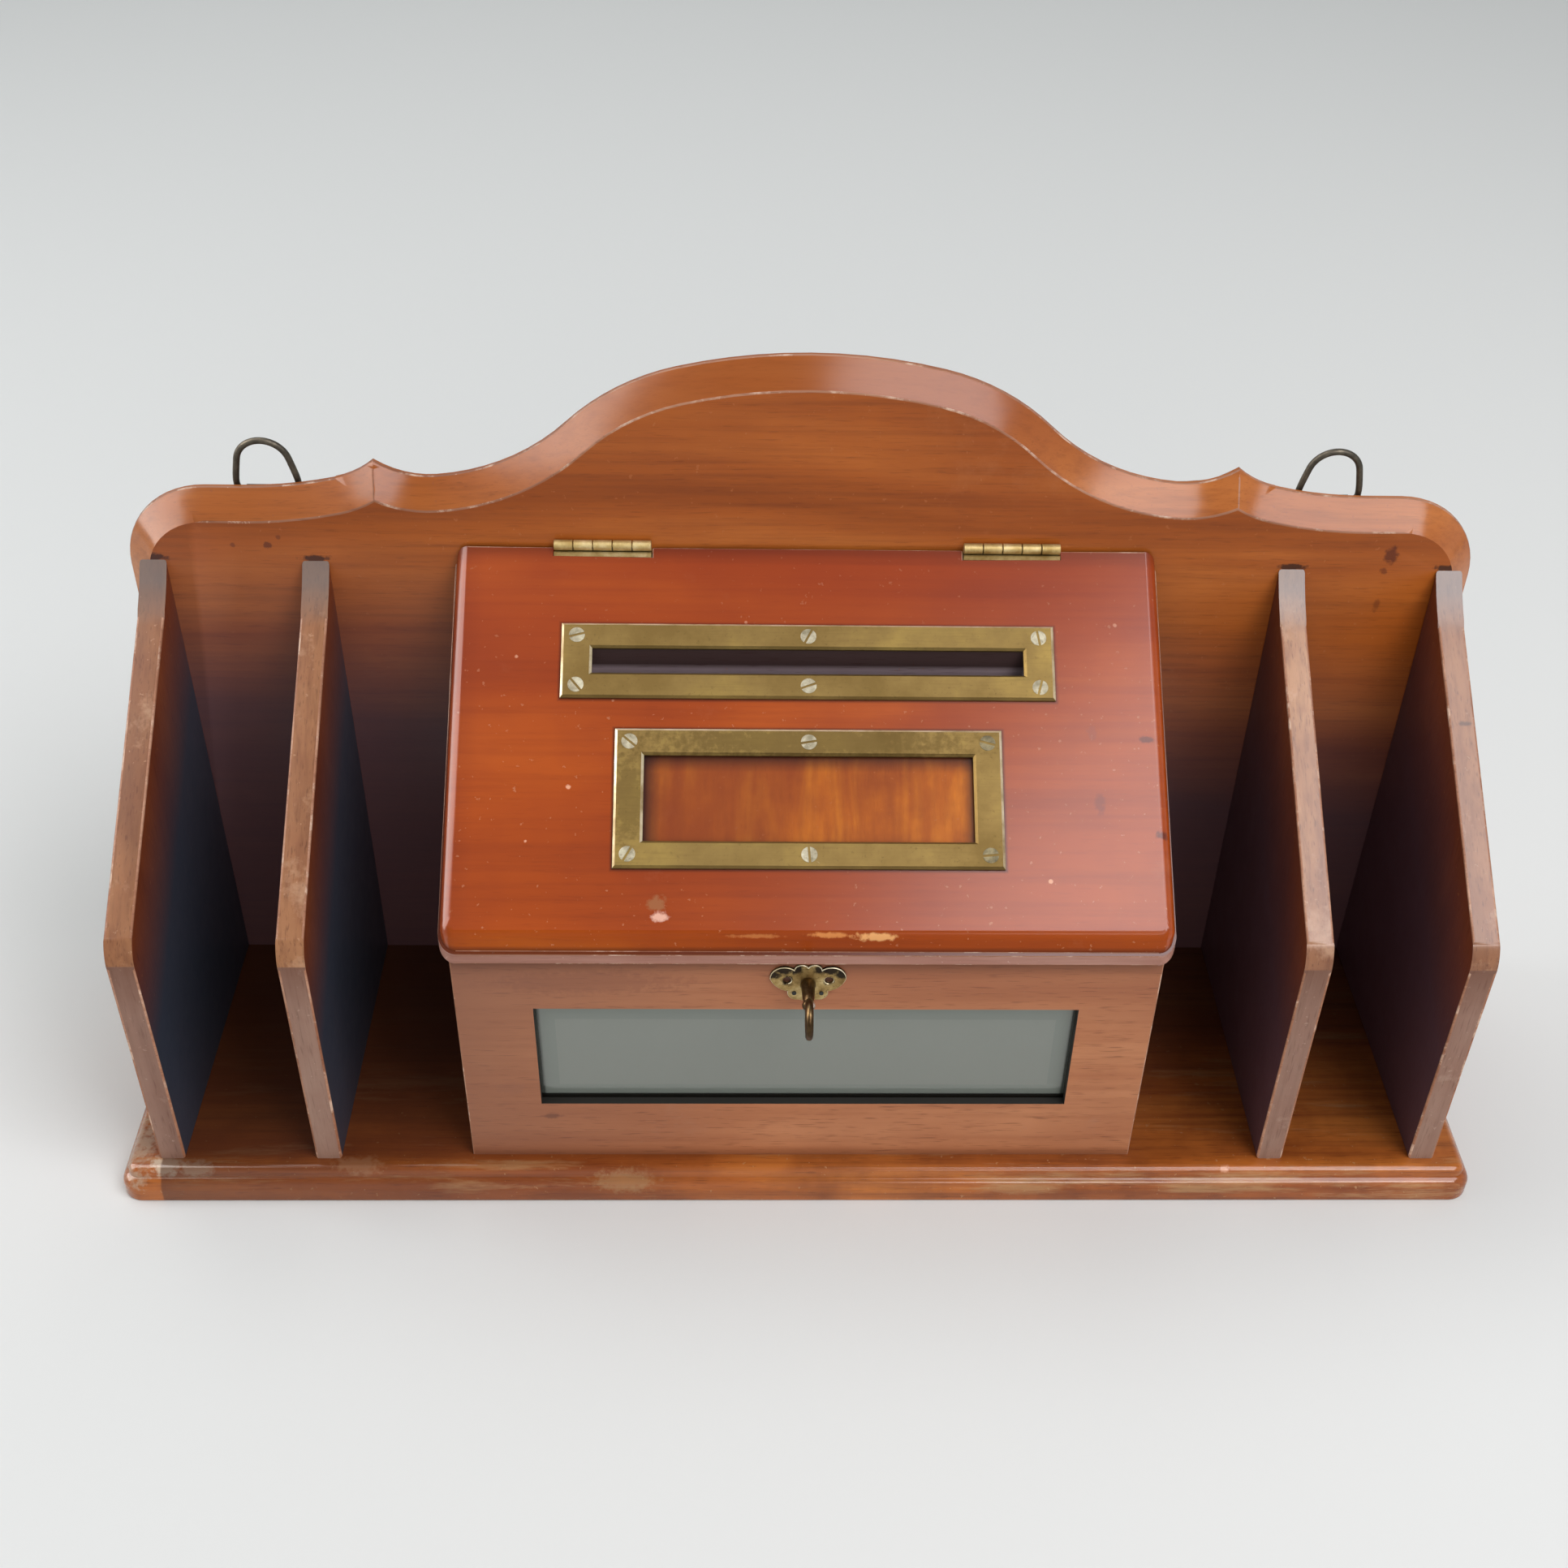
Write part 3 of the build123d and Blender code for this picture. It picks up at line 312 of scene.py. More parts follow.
edgeLook = {**woodBase, "name": "dividerEdge", "grain": "y", "dark": "#6c462e", "middle": "#8e6040",
                            "light": "#ac7c54", "cloudTone": "#744228", "cloud": 0.6, "cloudScale": 34.0, "pores": 0.4,
                            "rubbed": 0.5, "rubbedTone": "#bc9678", "rubbedFrom": 0.56, "polish": 0.35, "polishBlur": 0.24,
                            "streaks": 0.45, "streakTone": "#5e3420", "streakScale": 500.0,
                            # painted reflection: the tops turn grey towards the back board
                            "shades": [((0, 1, 0), 36, 48, 0.7, "#6e6a68")],
                            "spots": [((152.7, -54.6, 89.7), 1.3, (0.4, 1, 1), "#3c241c", 0.8),
                                      ((213, 10, 150), 1.2, (0.4, 1, 1), "#4a3026", 0.8)]}
dividerEdge = woodMaterial(edgeLook)
dividerEdgeRight = woodMaterial({**edgeLook, "name": "dividerEdgeRight", "polish": 1.0})
dividerFront = woodMaterial({**woodBase, "name": "dividerFront", "grain": "z", "dark": "#74564a", "middle": "#8a6c5e",
                             "light": "#9e8272", "cloudTone": "#7a5444", "cloud": 0.5, "cloudScale": 30.0, "pores": 0.3,
                             "rubbed": 0.5, "rubbedTone": "#b09888", "polish": 0.3, "polishBlur": 0.3, "streakTone": "#644638",
                             # painted reflection of dark surroundings: the fronts darken towards the top, under the
                             # nose
                             "shades": [((0, 0, 1), 80, 100, 0.6, "#5e3826")]})
# pale edge bevels: wear, and a painted highlight along the edges
wornAndHighlitEdge = woodMaterial({**woodBase, "name": "wornAndHighlitEdge", "dark": "#84563e", "middle": "#a07258", "light": "#c09880",
                         "cloudTone": "#8a5236", "polish": 0.25, "polishBlur": 0.3, "rubbed": 0.7, "rubbedTone": "#d0b49e",
                         "rubbedFrom": 0.54, "rubbedScale": 90.0})
print("wood materials made")


# ---- brass, iron, glass ----
def metalMaterial(look):
    made, tree, shader = newMaterial(look["name"], Metallic=look.get("metallic", 1.0))
    coords = coordsOf(tree)
    patches = noiseOf(tree, coords, look["patchScale"], 5.0, 0.65)
    colour = rampOf(tree, patches, [(0.35, tone(look["dark"])), (0.5, tone(look["middle"])), (0.68, tone(look["light"]))])
    brushed = noiseOf(tree, coordsOf(tree, (0.05, 1, 1)), 1400.0, 2.0, 0.6)
    colour = mixOf(tree, stepOf(tree, brushed, 0.5, 0.72, 0.0, look["brushed"]), colour, tone(look["dark"]))
    specks = noiseOf(tree, coords, 900.0, 2.0, 0.6)
    colour = mixOf(tree, stepOf(tree, specks, 0.62, 0.72, 0.0, look["specks"]), colour, tone(look["speckTone"]))
    colour = spotted(tree, coords, colour, look.get("spots", []))
    colour = darkened(tree, coords, colour, look.get("shades", []))
    tree.links.new(colour, shader.inputs["Base Color"])
    tree.links.new(stepOf(tree, patches, 0.3, 0.7, look["gloss"][1], look["gloss"][0]), shader.inputs["Roughness"])
    bump = addNode(tree, "ShaderNodeBump", {"Height": brushed, "Strength": 0.12, "Distance": 0.0001})
    tree.links.new(bump.outputs["Normal"], shader.inputs["Normal"])
    return made


agedBrass = metalMaterial({"name": "agedBrass", "patchScale": 30.0, "dark": "#6a562d", "middle": "#796438", "light": "#8b753f",
                           "brushed": 0.35, "specks": 0.3, "speckTone": "#4a3a1c", "gloss": (0.42, 0.55), "metallic": 0.85,
                           # painted shade on the card frame's top and left bars
                           "spots": [((0, -3.4, 150.1), 7.0, (0.11, 1, 1), "#54431f", 0.6), ((-56.4, -18.5, 139.5), 7.0, (1, 0.4, 0.4), "#54431f", 0.5),
                                     ((8.8, -35.1, 128), 0.9, (1, 1, 1), "#1c1610", 0.95),
                                     ((1.5, -35.8, 127.6), 1.2, (0.22, 1, 1), "#e4dcc0", 0.85)]})
# pale brass for rubbed edges; on the frames it also paints highlights on chosen chamfers
rubbedAndHighlitBrass = metalMaterial({"name": "rubbedAndHighlitBrass", "patchScale": 70.0, "dark": "#a4926a", "middle": "#d0c4a0",
                             "light": "#ece4cc", "brushed": 0.1, "specks": 0.2, "speckTone": "#6a5630", "gloss": (0.45, 0.55),
                             "metallic": 0.6})
hingeBrass = metalMaterial({"name": "hingeBrass", "patchScale": 120.0, "dark": "#9a8048", "middle": "#b8a26c", "light": "#d6c698",
                            "brushed": 0.1, "specks": 0.35, "speckTone": "#6c5430", "gloss": (0.45, 0.55), "metallic": 0.7})
plateBrass = metalMaterial({"name": "plateBrass", "patchScale": 200.0, "dark": "#7c6236", "middle": "#a48a56", "light": "#ccb684",
                            "brushed": 0.2, "specks": 0.45, "speckTone": "#33261a", "gloss": (0.4, 0.5), "metallic": 0.8,
                            # painted shadow in the gaps of the upper scrolls and round the eyes
                            "spots": [((side * across, -53.8, up), radius, stretch, "#1c130d", 0.95)
                                      for side in (-1, 1)
                                      for across, up, radius, stretch in ((3.6, 99.4, 2.1, (0.8, 1, 1)), (7.2, 99.5, 2.2, (0.5, 1, 1)),
                                                                          (10.6, 97.4, 1.9, (0.7, 1, 1)), (6.6, 95.0, 2.2, (1, 1, 1)))]})
oldIron = metalMaterial({"name": "oldIron", "patchScale": 260.0, "dark": "#47433b", "middle": "#555047", "light": "#666053",
                         "brushed": 0.2, "specks": 0.25, "speckTone": "#2a2420", "gloss": (0.4, 0.6)})
paleScrew = metalMaterial({"name": "paleScrew", "patchScale": 240.0, "dark": "#7c7660", "middle": "#9c9680", "light": "#c0bca4",
                           "brushed": 0.2, "specks": 0.4, "speckTone": "#4b4432", "gloss": (0.4, 0.55), "metallic": 0.7})
darkScrew = metalMaterial({"name": "darkScrew", "patchScale": 240.0, "dark": "#4c4634", "middle": "#6a6248", "light": "#8a8060",
                           "brushed": 0.2, "specks": 0.5, "speckTone": "#2c261c", "gloss": (0.4, 0.55), "metallic": 0.7})
keyMetal = metalMaterial({"name": "keyMetal", "patchScale": 160.0, "dark": "#3e2e1e", "middle": "#57452e", "light": "#7c6848",
                          "brushed": 0.1, "specks": 0.35, "speckTone": "#241a12", "gloss": (0.25, 0.42),
                          # painted highlight on the collar
                          "spots": [((1.3, -64.2, 94.8), 1.5, (1, 1, 1), "#f0e8dc", 0.9)]})
blackEdge, _, _ = newMaterial("blackEdge", Roughness=0.55, Base_Color=tone("#17150f"))
windowLook = {"pane": "#878c84", "bevel": "#80877f", "rim": "#2a2b26", "black": "#12110e",
              "rims": (((0, 0, 1), 79.4, 80.2, 0.75), ((1, 0, 0), 85.4, 86.2, 0.75), ((-1, 0, 0), 85.4, 86.2, 0.75))}


def glassMaterial(name, shade):
    made, tree, shader = newMaterial(name, Roughness=0.08, IOR=1.52, Transmission_Weight=0.35, Coat_Weight=0.5,
                                     Coat_Roughness=0.05)
    coords = coordsOf(tree)
    rims = [rim + (windowLook["rim"],) for rim in windowLook["rims"]] + [((0, 0, -1), -39.4, -39.0, 0.95, windowLook["black"])]
    tree.links.new(darkened(tree, coords, tone(shade), rims), shader.inputs["Base Color"])
    return made


windowGlass = glassMaterial("windowGlass", windowLook["pane"])
windowBevel = glassMaterial("windowBevel", windowLook["bevel"])
print("metal and glass materials made")


# ---- helpers for modelling ----
def onlySelect(piece):
    bpy.ops.object.select_all(action="DESELECT")
    piece.select_set(True)
    bpy.context.view_layer.objects.active = piece


def settled(piece, name):
    onlySelect(piece)
    bpy.ops.object.transform_apply(location=True, rotation=True, scale=True)
    piece.name = name
    return piece


def block(name, low, high):
    middle = [(a + b) / 2 * mm for a, b in zip(low, high)]
    bpy.ops.mesh.primitive_cube_add(size=1, location=middle)
    piece = bpy.context.object
    piece.scale = [(b - a) * mm for a, b in zip(low, high)]
    return settled(piece, name)


def chosenEdges(piece, wanted):
    """Leaves the piece in edit mode with the edges selected whose two ends satisfy the test."""
    onlySelect(piece)
    bpy.ops.object.mode_set(mode="EDIT")
    bpy.ops.mesh.select_mode(type="EDGE")
    bpy.ops.mesh.select_all(action="DESELECT")
    bpy.ops.object.mode_set(mode="OBJECT")
    points = [v.co / mm for v in piece.data.vertices]
    for edge in piece.data.edges:
        edge.select = wanted(points[edge.vertices[0]], points[edge.vertices[1]])
    bpy.ops.object.mode_set(mode="EDIT")


def rounded(piece, wanted, offset, segments=3, material=-1):
    chosenEdges(piece, wanted)
    bpy.ops.mesh.bevel(offset=offset * mm, segments=segments, profile=0.5, clamp_overlap=False, material=material)
    bpy.ops.mesh.select_all(action="DESELECT")
    bpy.ops.object.mode_set(mode="OBJECT")


def combined(piece, other, operation):
    modifier = piece.modifiers.new("joint", "BOOLEAN")
    modifier.operation, modifier.object, modifier.solver = operation, other, "EXACT"
    onlySelect(piece)
    bpy.ops.object.modifier_apply(modifier="joint")
    bpy.data.objects.remove(other, do_unlink=True)


def smoothed(piece, degrees):
    """Smooth shading that keeps the large flat faces flat."""
    onlySelect(piece)
    bpy.ops.object.shade_smooth_by_angle(angle=radians(degrees))
    modifier = piece.modifiers.new("flatFirst", "WEIGHTED_NORMAL")
    modifier.mode, modifier.weight, modifier.keep_sharp = "FACE_AREA", 100, True
    bpy.ops.object.modifier_apply(modifier="flatFirst")


def handed(piece, nodeNames):
    """Ties a piece to the body of the nodes that it replaces."""
    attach(piece, cadNodes[nodeNames[0]]["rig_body"])
    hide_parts(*nodeNames)


def placedCopy(source, name, matrix):
    piece = source.copy()
    piece.data = source.data.copy()
    bpy.context.scene.collection.objects.link(piece)
    piece.matrix_world = matrix
    return settled(piece, name)


def joinedPieces(pieces, name):
    bpy.ops.object.select_all(action="DESELECT")
    for piece in pieces:
        piece.select_set(True)
    bpy.context.view_layer.objects.active = pieces[0]
    bpy.ops.object.join()
    pieces[0].name = name
    return pieces[0]


def turnedPiece(name, sides, steps, material):
    """A round bar built ring by ring along Z: distance and radius of each ring."""
    bpy.ops.mesh.primitive_circle_add(vertices=sides, radius=steps[0][1] * mm, fill_type="NGON",
                                      location=(0, 0, steps[0][0] * mm))
    piece = settled(bpy.context.object, name)
    bpy.ops.object.mode_set(mode="EDIT")
    bpy.ops.mesh.select_all(action="SELECT")
    for (before, wide), (after, next_) in zip(steps, steps[1:]):
        bpy.ops.mesh.extrude_region_move(TRANSFORM_OT_translate={"value": (0, 0, (after - before) * mm)})
        bpy.ops.transform.resize(value=(next_ / wide, next_ / wide, 1), center_override=(0, 0, 0))
    bpy.ops.mesh.select_all(action="SELECT")
    bpy.ops.mesh.normals_make_consistent(inside=False)
    bpy.ops.object.mode_set(mode="OBJECT")
    piece.data.materials.append(material)
    return piece


# ---- softened copies of the solids: merged, long sharp edges rounded, often in a pale finish of wear and painted highlight ----
def mergedCopy(nodeName, pieceName):
    mesh = cadNodes[nodeName].data.copy()
    mesh.materials.clear()
    piece = bpy.data.objects.new(pieceName, mesh)
    bpy.context.scene.collection.objects.link(piece)
    onlySelect(piece)
    bpy.ops.object.mode_set(mode="EDIT")
    bpy.ops.mesh.select_all(action="SELECT")
    bpy.ops.mesh.remove_doubles(threshold=0.000005)
    bpy.ops.mesh.customdata_custom_splitnormals_clear()
    bpy.ops.mesh.dissolve_limited(angle_limit=radians(0.5))
    bpy.ops.mesh.select_mode(type="EDGE")
    bpy.ops.mesh.select_all(action="DESELECT")
    bpy.ops.object.mode_set(mode="OBJECT")
    return piece


def sharpEdges(piece, look):
    mesh = piece.data
    facesAt = {}
    for face in mesh.polygons:
        for key in face.edge_keys:
            facesAt.setdefault(key, []).append(face)
    chosen = []
    for edge in mesh.edges:
        pair = facesAt.get(tuple(sorted(edge.vertices)), [])
        start, end = (mesh.vertices[i].co / mm for i in edge.vertices)
        if len(pair) != 2 or (end - start).length < look.get("longerThan", 3.0):
            continue
        turn = pair[0].normal.angle(pair[1].normal, 0.0)
        across = pair[1].center - pair[0].center
        if turn > radians(28) and across.dot(pair[0].normal) < 0 and look.get("keep", lambda a, b: True)(start, end):
            chosen.append(edge.index)
    return chosen


def softPiece(nodeName, look):
    piece = mergedCopy(nodeName, nodeName + "Soft")
    for material in look["finishes"]:
        piece.data.materials.append(material)
    for face in piece.data.polygons:
        face.material_index = look["finishOf"](face.normal, face.center / mm) if "finishOf" in look else 0
    for index in sharpEdges(piece, look):
        piece.data.edges[index].select = True
    bpy.ops.object.mode_set(mode="EDIT")
    bpy.ops.mesh.select_mode(type="EDGE")
    bpy.ops.mesh.bevel(offset=look["edge"] * mm, segments=look.get("steps", 2), profile=0.5, clamp_overlap=False,
                       material=look.get("edgeFinish", -1))
    bpy.ops.mesh.select_all(action="DESELECT")
    bpy.ops.object.mode_set(mode="OBJECT")
    smoothed(piece, 32)
    handed(piece, [nodeName])
    return piece


# dividers: painted shade darkens the faces inside the racks; paler worn tops and fronts, with painted reflections near
# the back board and under the nose
def lengthwise(start, end):
    return abs(end.x - start.x) < 0.5


def dividerFinish(normal, middle):
    if abs(normal.x) > 0.5:
        return 0
    return 3 if normal.y < -0.98 and middle.z < 100 else 2


dividerPiece = {"edge": 0.7, "slot": "mahogany_board", "edgeFinish": 1, "keep": lengthwise, "finishOf": dividerFinish}
for nodeName in ("outer_divider_left", "inner_divider_left"):
    softPiece(nodeName, {**dividerPiece, "finishes": [dividerWood, wornAndHighlitEdge, dividerEdge, dividerFront]})
for nodeName in ("inner_divider_right", "outer_divider_right"):
    softPiece(nodeName, {**dividerPiece, "finishes": [dividerRight, wornAndHighlitEdge, dividerEdgeRight, dividerFront]})

# back board: the wide bevel has its own lighter finish
backPiece = {"finishes": [boardWood, boardBevel, wornAndHighlitEdge], "edge": 0.4, "slot": "mahogany_board", "edgeFinish": 2,
             "finishOf": lambda normal, middle: 0 if abs(normal.y) > 0.9 else 1,
             "keep": lambda start, end: (start.z + end.z) / 2 > 20}
softPiece("back_board", backPiece)

# lid: figured panel under the card frame, paler fillet under the rounded edge
lidPiece = {"origin": Vector((0, 51.1, 188.3)), "slope": radians(35), "thickness": 8.7, "lip": 3.2, "card": (85.0, 56.0, 18.0)}
lidUp = Vector((0, -sin(lidPiece["slope"]), cos(lidPiece["slope"])))
lidAlong = Vector((0, cos(lidPiece["slope"]), sin(lidPiece["slope"])))


def lidFinish(normal, middle):
    offset = middle - lidPiece["origin"]
    height, down = offset.dot(lidUp), -offset.dot(lidAlong)
    distance, halfWidth, halfHeight = lidPiece["card"]
    if abs(middle.x) < halfWidth and abs(down - distance) < halfHeight and -2 < height < -0.4 and normal.dot(lidUp) > 0.9:
        return 2
    if abs(down - 39.4) < 9 and abs(middle.x) < 70 and abs(normal.dot(lidUp)) < 0.9:
        return 4
    if height < -(lidPiece["thickness"] - lidPiece["lip"]) + 0.4 and abs(normal.dot(lidUp)) < 0.7:
        return 3
    return 5 if normal.y < -0.62 and abs(normal.x) < 0.4 and height > -8 else 0


softPiece("lid_board", {"finishes": [lidWood, wornAndHighlitEdge, recessWood, lipWood, slotWood, lidRound], "edge": 0.35, "slot": "mahogany_lid",
                        "edgeFinish": 1, "finishOf": lidFinish})

# letter box: front with blackened reveals round the window; sides darker, with painted shade towards the back of the
# racks
windowBox = {"half": (86.9, 21.4), "middle": 59.05, "top": 80.3, "raise": 1.2}


def frontFinish(normal, middle):
    inWindow = abs(middle.x) < windowBox["half"][0] + 0.5 and abs(middle.z - windowBox["middle"]) < windowBox["half"][1] + 0.5
    return 2 if inWindow and abs(normal.y) < 0.5 and middle.y < -46 else 0


boxFront = softPiece("box_front", {"finishes": [frontWood, wornAndHighlitEdge, blackEdge], "edge": 0.5, "slot": "mahogany_board", "edgeFinish": 1,
                        "finishOf": frontFinish, "longerThan": 20.0,
                        "keep": lambda start, end: abs(start.x) > 111 and abs(end.x) > 111 and abs(start.x - end.x) < 1})
chosenEdges(boxFront, lambda a, b: all(abs(p.z - windowBox["top"]) < 0.4 and abs(p.x) < windowBox["half"][0] + 0.5
                                       for p in (a, b)))
bpy.ops.transform.translate(value=(0, 0, windowBox["raise"] * mm))
bpy.ops.mesh.select_all(action="DESELECT")
bpy.ops.object.mode_set(mode="OBJECT")
for nodeName in ("box_side_left", "box_side_right"):
    softPiece(nodeName, {"finishes": [sideWood], "edge": 0.5, "slot": "mahogany_board"})
softPiece("window_glass", {"finishes": [windowGlass, windowBevel], "edge": 0.15, "slot": "glass", "steps": 1,
                           "finishOf": lambda normal, middle: 1 if 0.5 < -normal.y < 0.999 else 0})
for side in ("top", "bottom", "left", "right"):
    softPiece("glazing_bead_" + side, {"finishes": [blackEdge], "edge": 0.3, "slot": "mahogany_board", "steps": 1})
print("wooden pieces softened")

# base board: nosing and step modelled from blocks, back edge left plain
baseForm = {"half": 230.0, "front": -62.5, "back": 62.5, "nose": 9.4, "top": 12.8, "inset": 2.6, "corner": 7.0,
            "noseRound": 4.4, "footRound": 0.9, "stepRound": 2.8, "sunk": 3.0}


def frontCorner(start, end):
    return abs(start.x - end.x) < 0.01 and abs(start.y - end.y) < 0.01 and start.y < 0


def rimAt(level, back):
    return lambda start, end: (abs(start.z - level) < 0.01 and abs(end.z - level) < 0.01
                               and not (start.y > back - 0.01 and end.y > back - 0.01))


nosing = block("baseBoard", (-baseForm["half"], baseForm["front"], 0), (baseForm["half"], baseForm["back"], baseForm["nose"]))
rounded(nosing, frontCorner, baseForm["corner"], 8)
rounded(nosing, rimAt(baseForm["nose"], baseForm["back"]), baseForm["noseRound"], 6)
rounded(nosing, rimAt(0, baseForm["back"]), baseForm["footRound"], 2)
step = block("baseStep", (-baseForm["half"] + baseForm["inset"], baseForm["front"] + baseForm["inset"],
                          baseForm["nose"] - baseForm["sunk"]),
             (baseForm["half"] - baseForm["inset"], baseForm["back"], baseForm["top"]))
rounded(step, frontCorner, baseForm["corner"] - baseForm["inset"], 6)
rounded(step, rimAt(baseForm["top"], baseForm["back"]), baseForm["stepRound"], 5)
combined(nosing, step, "UNION")
nosing.data.materials.clear()
nosing.data.materials.append(baseWood)
smoothed(nosing, 40)
handed(nosing, ["base_board"])
print("base modelled")

# ---- brass frames on the lid, with round slotted screws ----
lidBasis = Matrix((Vector((1, 0, 0)), lidAlong, lidUp)).transposed().to_4x4()


def lidPlace(across, down, out, turn=0.0):
    spot = lidPiece["origin"] + Vector((across, 0, 0)) - lidAlong * down + lidUp * out
    return Matrix.Translation(spot * mm) @ lidBasis @ Matrix.Rotation(radians(turn), 4, "Z")


frameForms = {
    "slotFrame": {"nodes": ["slot_frame"], "screws": "slot_frame_screws", "opening": (137.8, 8.4), "bars": (9.85, 8.4),
                  "down": 39.4, "turns": (15, 62, 100, 130, 20, 75), "dark": ()},
    "cardFrame": {"nodes": ["card_frame"], "screws": "card_frame_screws", "opening": (103.6, 28.0), "bars": (9.2, 8.75),
                  "down": 85.0, "turns": (140, 10, 165, 60, 95, 5), "dark": (2, 5)},
}
brassForm = {"thickness": 1.6, "chamfer": 0.8, "headRadius": 2.55, "headHeight": 0.9, "slotWidth": 0.75, "slotDepth": 0.45,
             "proud": 0.12}

bpy.ops.mesh.primitive_cylinder_add(vertices=32, radius=brassForm["headRadius"] * mm, depth=brassForm["headHeight"] * mm)
screwHead = settled(bpy.context.object, "screwHead")
rounded(screwHead, lambda a, b: a.z > 0 and b.z > 0, 0.18, 2)
combined(screwHead, block("slotCutter", (-4, -brassForm["slotWidth"] / 2, brassForm["headHeight"] / 2 - brassForm["slotDepth"]),
                          (4, brassForm["slotWidth"] / 2, 2)), "DIFFERENCE")
smoothed(screwHead, 35)

for frameName, form in frameForms.items():
    wide, high = form["opening"][0] / 2, form["opening"][1] / 2
    plate = block(frameName, (-wide - form["bars"][0], -high - form["bars"][1], 0),
                  (wide + form["bars"][0], high + form["bars"][1], brassForm["thickness"]))
    combined(plate, block("openingCutter", (-wide, -high, -1), (wide, high, 3)), "DIFFERENCE")
    plate.data.materials.clear()
    for material in (agedBrass, rubbedAndHighlitBrass):
        plate.data.materials.append(material)
    rounded(plate, lambda a, b: a.z > 1.5 and b.z > 1.5 and min(abs(a.x - b.x), abs(a.y - b.y)) < 0.01,
            brassForm["chamfer"], 1, 1)
    # painted highlight: only the chamfers that catch the light keep the pale brass, on the outer top, left and right
    # and the inner left; the others go back to aged brass
    for face in plate.data.polygons:
        spot = face.center / mm
        inner = abs(spot.x) < wide + 1.2 and abs(spot.y) < high + 1.2
        if face.material_index == 1 and (spot.y < -high - 2 or (inner and spot.x > -wide + 1)):
            face.material_index = 0
    plate.matrix_world = lidPlace(0, form["down"], 0)
    settled(plate, frameName)
    handed(plate, form["nodes"])
    heads = []
    for index, turn in enumerate(form["turns"]):
        column, row = index % 3 - 1, index // 3
        across = column * (form["opening"][0] + form["bars"][0]) / 2
        down = form["down"] + (2 * row - 1) * (form["opening"][1] + form["bars"][1]) / 2
        head = placedCopy(screwHead, frameName + "Screw", lidPlace(
            across, down, brassForm["thickness"] - brassForm["headHeight"] / 2 + brassForm["proud"], turn))
        head.data.materials.clear()
        head.data.materials.append(darkScrew if index in form["dark"] else paleScrew)
        heads.append(head)
    handed(joinedPieces(heads, frameName + "Screws"), [form["screws"]])
print("brass frames modelled")

# ---- butt hinges: round knuckles on thin leaves, a plain pin ----
hingeForm = {"middle": 66.4, "y": 50.5, "z": 189.38, "radius": 1.7, "knuckle": 6.04, "gap": 0.3, "length": 31.4,
             "leafInner": 1.1, "leaf": 0.9, "bottom": 180.8, "lidTop": 187.6, "boardTop": 189.3, "pin": 0.8}
knuckle = turnedPiece("knuckle", 28, [(0, 1.55), (0.12, 1.7), (hingeForm["knuckle"] - 0.12, 1.7), (hingeForm["knuckle"], 1.55)],
                      hingeBrass)
pinBar = turnedPiece("pinBar", 16, [(0.05, 0.8), (hingeForm["length"] - 0.05, 0.8)], hingeBrass)
sideways = Matrix.Rotation(pi / 2, 4, "Y")
for side, sideName in ((-1, "left"), (1, "right")):
    start = side * hingeForm["middle"] - hingeForm["length"] / 2
    for kind, first, direction, top in (("board", 0, 1, hingeForm["boardTop"]), ("lid", 1, -1, hingeForm["lidTop"])):
        near, far = hingeForm["leafInner"], hingeForm["leafInner"] + hingeForm["leaf"]
        rows = sorted((hingeForm["y"] + direction * near, hingeForm["y"] + direction * far))
        leaf = block("leaf", (start, rows[0], hingeForm["bottom"]), (start + hingeForm["length"], rows[1], top))
        leaf.data.materials.append(hingeBrass)
        pieces = [leaf]
        for index in range(first, 5, 2):
            along = start + index * (hingeForm["knuckle"] + hingeForm["gap"])
            place = Matrix.Translation(Vector((along, hingeForm["y"], hingeForm["z"])) * mm) @ sideways
            pieces.append(placedCopy(knuckle, "knuckleCopy", place))
        leafPiece = joinedPieces(pieces, "hinge" + kind.capitalize() + sideName.capitalize())
        smoothed(leafPiece, 40)
        handed(leafPiece, ["hinge_%s_leaf_%s" % (kind, sideName)])
    pinPiece = placedCopy(pinBar, "hingePin" + sideName.capitalize(),
                          Matrix.Translation(Vector((start, hingeForm["y"], hingeForm["z"])) * mm) @ sideways)
    smoothed(pinPiece, 40)
    handed(pinPiece, ["hinge_pin_" + sideName])
print("hinges modelled")

# ---- keyhole plate, key, rings ----
softPiece("keyhole_plate", {"finishes": [plateBrass, rubbedAndHighlitBrass], "edge": 0.22, "slot": "aged_brass", "edgeFinish": 1,
                            "longerThan": 0.15, "steps": 1, "keep": lambda start, end: start.y < -53.7 and end.y < -53.7})
keyForm = {"face": -52.8, "height": 94.1, "bowMiddle": -70.2, "bowRadius": 5.35, "bowWire": 1.2, "tip": -45.0}
stem = turnedPiece("keyPiece", 24, [(-8.5, 1.6), (0.5, 1.65), (1.2, 2.35), (2.4, 2.5), (3.2, 2.2), (8.2, 1.9), (9.6, 1.45),
                                    (9.9, 1.2), (10.1, 1.55), (10.6, 1.95), (11.2, 2.1), (11.8, 1.95), (12.3, 1.5), (12.6, 1.1)],
                   keyMetal)
bpy.ops.mesh.primitive_torus_add(major_radius=keyForm["bowRadius"] * mm, minor_radius=keyForm["bowWire"] * mm,
                                 major_segments=48, minor_segments=14, rotation=(0, pi / 2, 0), location=(0, 0, 17.4 * mm))
bow = settled(bpy.context.object, "keyBow")
bow.data.materials.append(keyMetal)
bit = block("keyBit", (-1.0, -6.0, -8.5), (1.0, 0, -5.3))
bit.data.materials.append(keyMetal)
keyPiece = joinedPieces([stem, bow, bit], "keyPiece")
